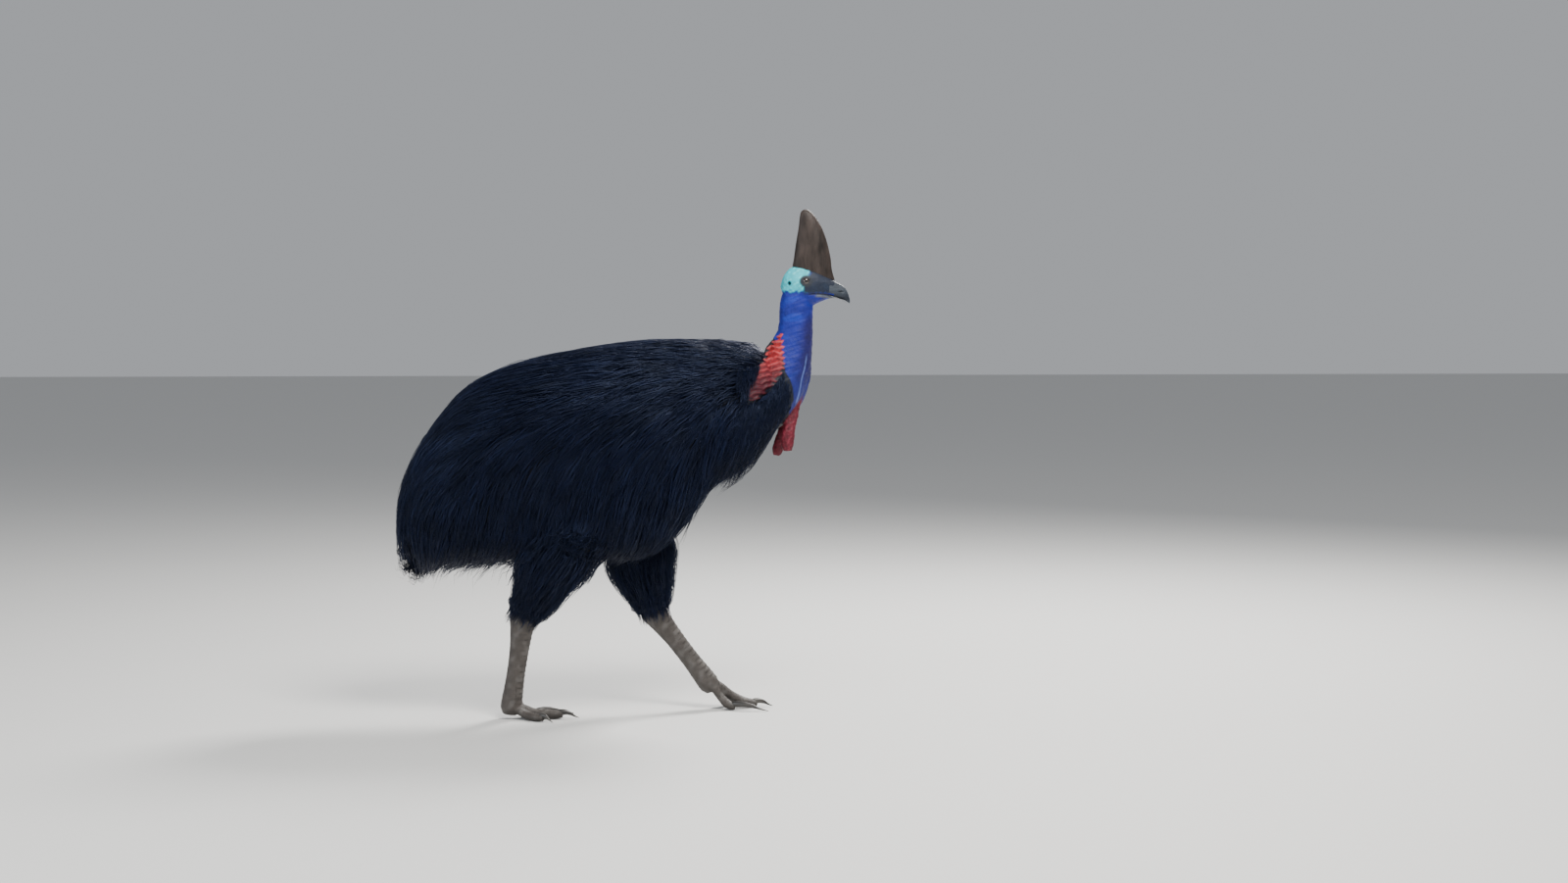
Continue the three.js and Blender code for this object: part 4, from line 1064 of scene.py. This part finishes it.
def coat_spines(draw, roots, length):
    """Runs a spine from each root over the body: its points, and its ways across and out."""
    n = len(roots)
    fine = 2
    steps = (STRAND_POINTS - 1) * fine
    reach = draw.uniform(0.72, 1.12, n) * length
    reach *= np.interp(roots[:, 0], (-620, -200, 250, 420, 528), (1.15, 1.1, 0.95, 0.6, 0.35))
    reach *= np.where(draw.uniform(0, 1, n) < 0.18, 1.25, 1)
    sway, curl = draw.normal(0, 0.13, n), draw.normal(0, 0.05, n)
    layer = draw.uniform(0, 1, n)
    hem = 0.955 + 0.20 * draw.uniform(0, 1, n) ** 2.2
    quick_rise = np.interp(roots[:, 0], (360, 470), (0.75, 0.22))
    p = roots - way_out(CORE, roots) * 4
    spine, ways, outs = [], [], []
    for k in range(steps + 1):
        along, out = lie_at(p)
        bend = (sway * (1 - k / steps) + curl * k / steps)[:, None]
        along = unit(along + np.cross(out, along) * bend)
        if k % fine == 0:
            spine.append(p.copy())
            ways.append(unit(np.cross(out, along)))
            outs.append(out)
        nxt = p + along * (reach / steps)[:, None]
        x = nxt[:, 0]
        mid = np.stack([x, np.zeros(n), (size_at(COAT, 1, x) + size_at(COAT, 2, x)) / 2], -1)
        outer = np.maximum(reach_in(COAT, nxt), 1e-3)
        core = np.clip(outer / np.maximum(reach_in(CORE, nxt), 1e-3), 0.4, 1)
        # A strand rises from the skin to its own layer of the coat, and hangs free below the belly.
        wanted = core + (0.90 + 0.095 * layer - core) * ((k + 1) / steps) ** quick_rise + 0.012
        free = (nxt[:, 2] < size_at(CORE, 2, x)) | (x < CORE[0][0])
        target = np.where(free, np.minimum(outer, hem), np.minimum(wanted, 0.99))
        p = mid + (nxt - mid) * (target / outer)[:, None]
        p[:, 0] = np.maximum(p[:, 0], REAR_LIMIT)
        p = over_thighs(p)
    return [np.stack(a, 1) for a in (spine, ways, outs)]


def clump_strands(draw, spine, ways, outs, each):
    """Strands of each clump, which start apart and draw together towards its tip."""
    n = len(spine)
    t = np.linspace(0, 1, STRAND_POINTS)
    spread = np.interp(t, (0, 0.3, 0.8, 1), (1, 1.05, 0.55, 0.32))
    off = draw.normal(0, 1, (n, each)) * CLUMP_SPREAD
    lift = draw.uniform(-0.5, 1, (n, each)) * 4
    shift = draw.normal(0, 16, (n, each))[..., None, None]
    trim = draw.uniform(0.72, 1.0, (n, each))[..., None]
    strands = (
        spine[:, None]
        + ways[:, None] * (off[..., None] * spread)[..., None]
        + outs[:, None] * (lift[..., None] * np.sin(np.pi * t * 0.5))[..., None]
        + unit(np.gradient(spine, axis=1))[:, None] * shift
    )
    # Some strands stop short, so that the hem is ragged.
    pick = (t * trim) * (STRAND_POINTS - 1)
    low = np.minimum(pick.astype(int), STRAND_POINTS - 2)
    frac = (pick - low)[..., None]
    rows, cols = np.arange(n)[:, None, None], np.arange(each)[None, :, None]
    strands = strands[rows, cols, low] * (1 - frac) + strands[rows, cols, low + 1] * frac
    wave = draw.normal(0, 2.2, strands.shape[:3]) * np.minimum(t * 2, 1)
    return (strands + ways[:, None] * wave[..., None]).reshape(-1, STRAND_POINTS, 3)


def coat_pieces(clumps, each, width, length):
    """The coat of the body, in four pieces from rump to breast on each side."""
    draw = np.random.default_rng(17)
    roots, unwrap = coat_roots(draw, clumps)
    spine, ways, outs = coat_spines(draw, roots, length)
    strands = clump_strands(draw, spine, ways, outs, each)
    n = len(roots)
    tints = strand_tints(draw, n, each)
    roots, unwrap, ways, outs = (np.repeat(a, each, 0) for a in (roots, unwrap, ways, outs))
    unwrap = unwrap + draw.uniform(-0.006, 0.006, (n * each, 2))
    widths = draw.uniform(0.7, 1.3, n * each) * width
    clear = ~bare(strands[:, 1:4]).any(1)
    pieces = []
    for name, sign in SIDES:
        mine = clear & (np.sign(roots[:, 1]) == sign)
        bounds = np.quantile(roots[mine, 0], (0, 0.25, 0.5, 0.75, 1))
        for part, low, high in zip(("rump", "loin", "side", "breast"), bounds[:-1], bounds[1:]):
            on = mine & (roots[:, 0] >= low) & ((roots[:, 0] < high) | (high == bounds[-1]))
            args = (a[on] for a in (strands, ways, outs, widths, tints, unwrap))
            pieces.append(hair_mesh(f"coat_{part}_{name}", *args))
    return pieces


def breast_piece(name, sign, count, width):
    """Short strands over the foot of the neck, between the bare nape, the blue neck and the breast."""
    draw = np.random.default_rng(31 + sign)
    edge = table(SKIN_EDGE)
    z = draw.uniform(850, 1120, count * 4)
    x = draw.uniform(400, 576, count * 4)
    limit = np.where(z > 980, np.interp(z, edge[:, 0], edge[:, 1]), np.interp(z, *BREAST_EDGE))
    on = (x < limit - 1) & (x > limit - 150) & (in_outline(BARE_NAPE, x, z) < -2) & (flesh_width(x, z) > 2)
    x, z = x[on][:count], z[on][:count]
    n = len(x)
    reach = draw.uniform(45, 120, n) * np.interp(z, (850, 1000, 1110), (1.5, 1.0, 0.55))
    slope = np.radians(draw.normal(0, 7, n) + np.interp(z, (850, 960, 1060), (58, 62, 78)))
    loose = draw.uniform(0.3, 1, n)
    spine = []
    for u in np.linspace(0, 1, STRAND_POINTS):
        sz = z - np.sin(slope) * reach * u
        sx = np.minimum(x - np.cos(slope) * reach * u, np.interp(sz, *BREAST_EDGE) + 2)
        flesh = flesh_width(sx, sz)
        outer = np.maximum(section_width(COAT, sx, sz), flesh)
        y = np.maximum(flesh + (outer - flesh) * u * 0.9, 2) + (-3 + 9 * loose * math.sin(math.pi * u * 0.6))
        spine.append(np.stack([sx, sign * y, sz], -1))
    spine = np.stack(spine, 1)
    along = unit(np.gradient(spine, axis=1))
    out = np.broadcast_to(np.array((0.35, sign, 0.0)), spine.shape)
    out = unit(out - along * (out * along).sum(-1, keepdims=True))
    ways = unit(np.cross(out, along))
    wave = draw.normal(0, 1.6, (n, STRAND_POINTS)) * np.linspace(0, 1, STRAND_POINTS)
    tints = strand_tints(draw, n, 1)
    widths = draw.uniform(0.7, 1.2, n) * width
    unwrap = on_map((x - 380) / 220, (z - 820) / 320)
    return hair_mesh(f"coat_throat_{name}", spine + ways * wave[..., None], ways, out, widths, tints, unwrap)


def trouser_piece(name, sign, count, width):
    """Strands down and round one thigh, past its end in a short cuff."""
    draw = np.random.default_rng(23 + sign)
    level = draw.uniform(0.12, 0.78, count)
    turn = draw.uniform(0, 2 * np.pi, count)
    span = draw.uniform(0.2, 0.36, count)
    twist = draw.normal(0, 0.10, count)
    loose = draw.uniform(0.2, 1, count)
    t = np.linspace(0, 1, STRAND_POINTS)
    share = (level[:, None] + span[:, None] * t).ravel()
    past = np.maximum(share - 0.95, 0) * 300
    share = np.minimum(share, 0.95)
    mid, along, forward, size = limb_frame(shank_stations(LEGS[name], 4), share)
    a = (turn[:, None] + twist[:, None] * t).ravel()
    lift = (-3 + (34 * loose**1.5)[:, None] * np.sin(np.pi * np.minimum(t, 0.8) / 1.6)).ravel()
    lift *= np.interp(share, (0, 0.8, 1), (1, 1, 0.35))
    c, s = np.cos(a)[:, None], np.sin(a)[:, None]
    across = np.array((0, 1, 0))
    out = unit(across * c + forward * s)
    wide = (size[:, 2] + lift)[:, None]
    deep = (np.where(s[:, 0] > 0, size[:, 0], size[:, 1]) + lift)[:, None]
    strands = mid + across * (c * wide) + forward * (s * deep) + along * past[:, None]
    ways, out, strands = (v.reshape(count, STRAND_POINTS, 3) for v in (unit(np.cross(out, along)), out, strands))
    strands = strands + ways * (draw.normal(0, 4.0, (count, STRAND_POINTS)) * t)[..., None]
    tints = strand_tints(draw, count, 1)
    widths = draw.uniform(0.7, 1.3, count) * width
    return hair_mesh(f"trouser_{name}", strands, ways, out, widths, tints, on_map(turn / (2 * np.pi), level))


def plumage():
    return finish("strand_gloss", (0.6, 0.62, 0.70), (1.25, 1.25, 1.25), 0.46, bump=0.0, coarse=9, fine=60,
                  attribute="tint", specular=0.34, gloss=(0.50, 0.62, 1.0), spread=(0.3, 0.7))


# ---------------------------------------------------------------- horn, eyes and stage

def make_casque():
    """The tall blade on the head: thin, a little bent to the left, with shallow dents and growth ridges."""
    low, high = CASQUE[0][0], CASQUE[-1][0]
    z = low + (high - low) * np.sin(np.linspace(0, 1, 70) * np.pi / 2)
    back, front, side = (size_at(CASQUE, k, z)[:, None] for k in (1, 2, 3))
    turn = (2 * np.pi * np.arange(96) / 96)[None]
    c, s = np.cos(turn), np.sin(turn)
    x = (front + back) / 2 + (front - back) / 2 * bent(c, 0.9)
    y = side * bent(s, np.where(c > 0, 1.25, 0.85))
    rise = ((z - low) / (high - low))[:, None]
    rings = np.stack([x, y + CASQUE_LEAN * rise * rise, np.broadcast_to(z[:, None], x.shape)], -1)
    flat = rings.reshape(-1, 3)
    push = waves(flat, 70, 71) * 0.9 + waves(flat * (1, 1, 0.35), 16, 72) * 0.35
    flat[:, 1] += np.sign(flat[:, 1]) * push * np.minimum(np.abs(flat[:, 1]) / 10, 1)
    made = object_from("casque_blade", [shell(flat.reshape(rings.shape), CASQUE_TIPS)])
    smooth_shaded(made)
    give(made, finish("casque_streaks", (0.007, 0.0055, 0.005), (0.056, 0.042, 0.037), 0.5, bump=0.7,
                      coarse=17, fine=70, stretch=(2.4, 2.4, 0.7), depth=0.0012, specular=0.18,
                      spread=(0.25, 0.75)))
    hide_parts("casque")


def make_bill():
    """The bill's two sheaths, which meet along the line of the mouth."""
    rings, _ = upright_rings(BILL, 60, 64, (1.8, 1.9), 1.5)
    half_gap, under_end = 0.35, 740
    sheaths = {
        "bill_upper": ("bill_top", "bill_sheath", (0.011, 0.015, 0.023), (0.045, 0.055, 0.070), 0.50,
                       {"coarse": 30, "specular": 0.25}),
        "bill_lower": ("bill_under", "bill_under_sheath", (0.03, 0.036, 0.046), (0.15, 0.16, 0.18), 0.4,
                       {"coarse": 24, "coat": 0.1}),
    }
    for part, (name, tone, dark, pale, rough, look) in sheaths.items():
        flat = rings.copy().reshape(-1, 3)
        line = mouth_height(flat[:, 0])
        if part == "bill_upper":
            flat[:, 2] = np.maximum(flat[:, 2], line + half_gap)
            # The nostril is a long hollow low on the side of the bill.
            away = np.hypot((flat[:, 0] - NOSTRIL[0]) / 8, (flat[:, 2] - NOSTRIL[2]) / 3)
            flat[:, 1] *= 1 - 0.42 * bell(away**2)
            end = (1.2, 0, -1)
        else:
            flat[:, 2] = np.minimum(flat[:, 2], line - half_gap)
            flat[:, 0] = np.minimum(flat[:, 0], under_end)
            closing = step(under_end - 15, under_end, flat[:, 0]) * 0.85
            flat[:, 2] += closing * (mouth_height(flat[:, 0]) - 3 - flat[:, 2])
            flat[:, 1] *= 0.94
            end = (0.6, 0, 0)
        shaped = flat.reshape(rings.shape)
        piece = object_from(name, [shell(shaped, (shaped[0].mean(0) - (1.2, 0, 0), shaped[-1].mean(0) + end))])
        smooth_shaded(piece, 50)
        give(piece, finish(tone, dark, pale, rough, bump=0.25, fine=160, stretch=(0.6, 1, 1.6), depth=0.0006,
                           **look))
        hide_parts(part)


def make_claws():
    horn = finish("claw_sheath", (0.012, 0.011, 0.010), (0.05, 0.045, 0.04), 0.35, bump=0.3, coarse=30, fine=150,
                  stretch=(0.5, 1, 1), depth=0.0005, coat=0.1)
    for name, sign in SIDES:
        for toe in TOES:
            _, across = toe_frame(LEGS[name], sign, toe[1])
            rings, tips = limb_rings(claw_stations(LEGS[name], sign, toe), 40, 28, across=across)
            rings[..., 2] = np.maximum(rings[..., 2], 0)
            piece = object_from(f"claw_{toe[0]}_{name}_horn", [shell(rings, tips)])
            smooth_shaded(piece)
            give(piece, horn)
            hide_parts(f"claw_{toe[0]}_{name}")


def eye_finish(name, centre):
    """A dark pupil in a brown iris under a wet gloss, by distance from the eye's own middle."""
    made = bpy.data.materials.new(name)
    made.use_nodes = True
    nodes, link = made.node_tree.nodes, made.node_tree.links.new
    shader = nodes["Principled BSDF"]
    place = nodes.new("ShaderNodeTexCoord")
    away = node(nodes, "ShaderNodeVectorMath", {1: centre}, operation="SUBTRACT")
    flat = node(nodes, "ShaderNodeVectorMath", {1: (1, 0, 1)}, operation="MULTIPLY")
    length = node(nodes, "ShaderNodeVectorMath", operation="LENGTH")
    share = node(nodes, "ShaderNodeMath", {1: EYE[3] / 1000}, operation="DIVIDE")
    ramp = nodes.new("ShaderNodeValToRGB")
    link(place.outputs["Object"], away.inputs[0])
    link(away.outputs[0], flat.inputs[0])
    link(flat.outputs[0], length.inputs[0])
    link(length.outputs["Value"], share.inputs[0])
    link(share.outputs[0], ramp.inputs["Fac"])
    stops = ramp.color_ramp.elements
    for i, (at, tone) in enumerate(EYE_TONES):
        stop = stops[i] if i < 2 else stops.new(at)
        stop.position, stop.color = at, (*tone, 1)
    link(ramp.outputs["Color"], shader.inputs["Base Color"])
    for key, value in (("Roughness", 0.08), ("Coat Weight", 1.0), ("Coat Roughness", 0.03)):
        shader.inputs[key].default_value = value
    return made


def make_eyes():
    """Each eye is a ball whose clear front stands out a little over the iris."""
    for name, sign in SIDES:
        centre, radius = placed((EYE[0], sign * EYE[1], EYE[2])), EYE[3] / 1000
        bpy.ops.object.select_all(action="DESELECT")
        bpy.ops.mesh.primitive_uv_sphere_add(segments=64, ring_count=40, radius=radius, location=centre)
        ball = bpy.context.active_object
        ball.name = f"eyeball_{name}"
        bpy.ops.object.transform_apply(location=True, rotation=True, scale=True)
        away = places_of(ball.data) - centre
        front = np.clip(away[:, 1] * sign / radius, 0, 1)
        set_places(ball.data, centre + away * (1 + 0.06 * step(0.72, 1, front))[:, None])
        smooth_shaded(ball)
        give(ball, eye_finish(f"eye_{name}_wet", tuple(float(c) for c in centre)))
        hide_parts(f"eye_{name}")


def make_camera():
    """Sets the bird's middle where the picture has it, left of and below the middle."""
    high = math.radians(CAMERA_RISE)
    middle = Vector(BIRD_MIDDLE)
    data = bpy.data.cameras.new("camera")
    data.sensor_width = SENSOR
    data.lens = FOCAL / PICTURE[0] * SENSOR
    camera = bpy.data.objects.new("camera", data)
    bpy.context.scene.collection.objects.link(camera)
    camera.location = middle + CAMERA_AWAY * Vector((0, -math.cos(high), math.sin(high)))
    ahead = (middle - camera.location).normalized()
    right = ahead.cross(Vector((0, 0, 1))).normalized()
    up = right.cross(ahead)
    aim = ahead * FOCAL + right * (PICTURE[0] / 2 - BIRD_PIXEL[0]) + up * (BIRD_PIXEL[1] - PICTURE[1] / 2)
    camera.rotation_euler = aim.to_track_quat("-Z", "Y").to_euler()
    bpy.context.scene.camera = camera


def make_floor(colour):
    bpy.ops.object.select_all(action="DESELECT")
    bpy.ops.mesh.primitive_plane_add(size=FLOOR_SIZE, location=(0, 0, 0))
    floor = bpy.context.active_object
    floor.name = "floor"
    stone = bpy.data.materials.new("floor")
    stone.use_nodes = True
    shader = stone.node_tree.nodes["Principled BSDF"]
    shader.inputs["Base Color"].default_value = (*colour, 1)
    shader.inputs["Roughness"].default_value = 0.8
    floor.data.materials.append(stone)


def make_light(power):
    scene = bpy.context.scene
    scene.world = scene.world or bpy.data.worlds.new("world")
    scene.world.use_nodes = True
    sky = scene.world.node_tree.nodes["Background"]
    sky.inputs["Color"].default_value = WORLD_TONE
    sky.inputs["Strength"].default_value = WORLD_STRENGTH
    for name, place, size, share, tone in LAMPS:
        light = bpy.data.lights.new(name, "AREA")
        light.size, light.energy, light.color = size, power * share, tone
        lamp = bpy.data.objects.new(name, light)
        lamp.location = place
        lamp.rotation_euler = (Vector(BIRD_MIDDLE) - Vector(place)).to_track_quat("-Z", "Y").to_euler()
        scene.collection.objects.link(lamp)


# ---------------------------------------------------------------- operators

class CassowaryCoatSettings(bpy.types.PropertyGroup):
    """Sizes of the coat."""

    clumps: IntProperty(name="Clumps", description="Locks of strands over the body", default=4200, min=100)
    strands: IntProperty(name="Strands", description="Strands in each lock", default=8, min=2)
    width: FloatProperty(name="Strand width", description="Width of a strand, in millimetres", default=3.5,
                         min=0.5)
    length: FloatProperty(name="Length", description="Length of the longest strands, in millimetres",
                          default=235, min=20)
    trousers: IntProperty(name="Leg strands", description="Strands on each thigh", default=3600, min=100)
    throat: IntProperty(name="Throat strands", description="Strands each side of the neck's foot",
                        default=2400, min=100)


class CassowaryLightSettings(bpy.types.PropertyGroup):
    """Floor and light."""

    floor: FloatVectorProperty(name="Floor", description="Colour of the floor", subtype="COLOR", size=3,
                               default=(0.60, 0.60, 0.59), min=0, max=1)
    key: FloatProperty(name="Key light", description="Power of the key light, in watts", default=520, min=0)


class OBJECT_OT_cassowary_skin(bpy.types.Operator):
    """Makes the bird's one skin, from the head to the toes"""

    bl_idname = "object.cassowary_skin"
    bl_label = "Skin"

    def execute(self, context):
        make_skin()
        return {"FINISHED"}


class OBJECT_OT_cassowary_coat(bpy.types.Operator):
    """Lays the long coat over the body in clumps of strands"""

    bl_idname = "object.cassowary_coat"
    bl_label = "Coat"

    def execute(self, context):
        s = context.scene.cassowary_coat
        pieces = coat_pieces(s.clumps, s.strands, s.width, s.length)
        pieces += [breast_piece(name, sign, s.throat, s.width * 0.8) for name, sign in SIDES]
        for piece in pieces:
            smooth_shaded(piece)
            give(piece, plumage())
        return {"FINISHED"}


class OBJECT_OT_cassowary_trousers(bpy.types.Operator):
    """Lays the shorter strands over the thighs"""

    bl_idname = "object.cassowary_trousers"
    bl_label = "Leg feathers"

    def execute(self, context):
        s = context.scene.cassowary_coat
        for name, sign in SIDES:
            piece = trouser_piece(name, sign, s.trousers, s.width * 0.9)
            smooth_shaded(piece)
            give(piece, plumage())
        return {"FINISHED"}


class OBJECT_OT_cassowary_horn(bpy.types.Operator):
    """Makes the casque, the bill and the claws"""

    bl_idname = "object.cassowary_horn"
    bl_label = "Casque, bill and claws"

    def execute(self, context):
        make_casque()
        make_bill()
        make_claws()
        return {"FINISHED"}


class OBJECT_OT_cassowary_eyes(bpy.types.Operator):
    """Makes the two eyes"""

    bl_idname = "object.cassowary_eyes"
    bl_label = "Eyes"

    def execute(self, context):
        make_eyes()
        return {"FINISHED"}


class OBJECT_OT_cassowary_stage(bpy.types.Operator):
    """Sets the camera, the floor and the lights"""

    bl_idname = "object.cassowary_stage"
    bl_label = "Stage"

    def execute(self, context):
        s = context.scene.cassowary_light
        make_camera()
        make_floor(s.floor)
        make_light(s.key)
        return {"FINISHED"}


class VIEW3D_PT_cassowary(bpy.types.Panel):
    """Lists the bird's pieces and their settings"""

    bl_label = "Cassowary"
    bl_space_type = "VIEW_3D"
    bl_region_type = "UI"
    bl_category = "Cassowary"

    def draw(self, context):
        layout = self.layout
        for settings in (context.scene.cassowary_coat, context.scene.cassowary_light):
            for key in settings.__annotations__:
                layout.prop(settings, key)
        for operator in OPERATORS:
            layout.operator(operator.bl_idname)


OPERATORS = (
    OBJECT_OT_cassowary_stage,
    OBJECT_OT_cassowary_skin,
    OBJECT_OT_cassowary_coat,
    OBJECT_OT_cassowary_trousers,
    OBJECT_OT_cassowary_horn,
    OBJECT_OT_cassowary_eyes,
)
CLASSES = (CassowaryCoatSettings, CassowaryLightSettings, *OPERATORS, VIEW3D_PT_cassowary)


def register():
    for kind in CLASSES:
        bpy.utils.register_class(kind)
    bpy.types.Scene.cassowary_coat = PointerProperty(type=CassowaryCoatSettings)
    bpy.types.Scene.cassowary_light = PointerProperty(type=CassowaryLightSettings)


def unregister():
    del bpy.types.Scene.cassowary_light
    del bpy.types.Scene.cassowary_coat
    for kind in reversed(CLASSES):
        bpy.utils.unregister_class(kind)


def main():
    register()
    bpy.ops.object.cassowary_stage()
    bpy.ops.object.cassowary_skin()
    bpy.ops.object.cassowary_coat()
    bpy.ops.object.cassowary_trousers()
    bpy.ops.object.cassowary_horn()
    bpy.ops.object.cassowary_eyes()


if __name__ == "__main__":
    main()
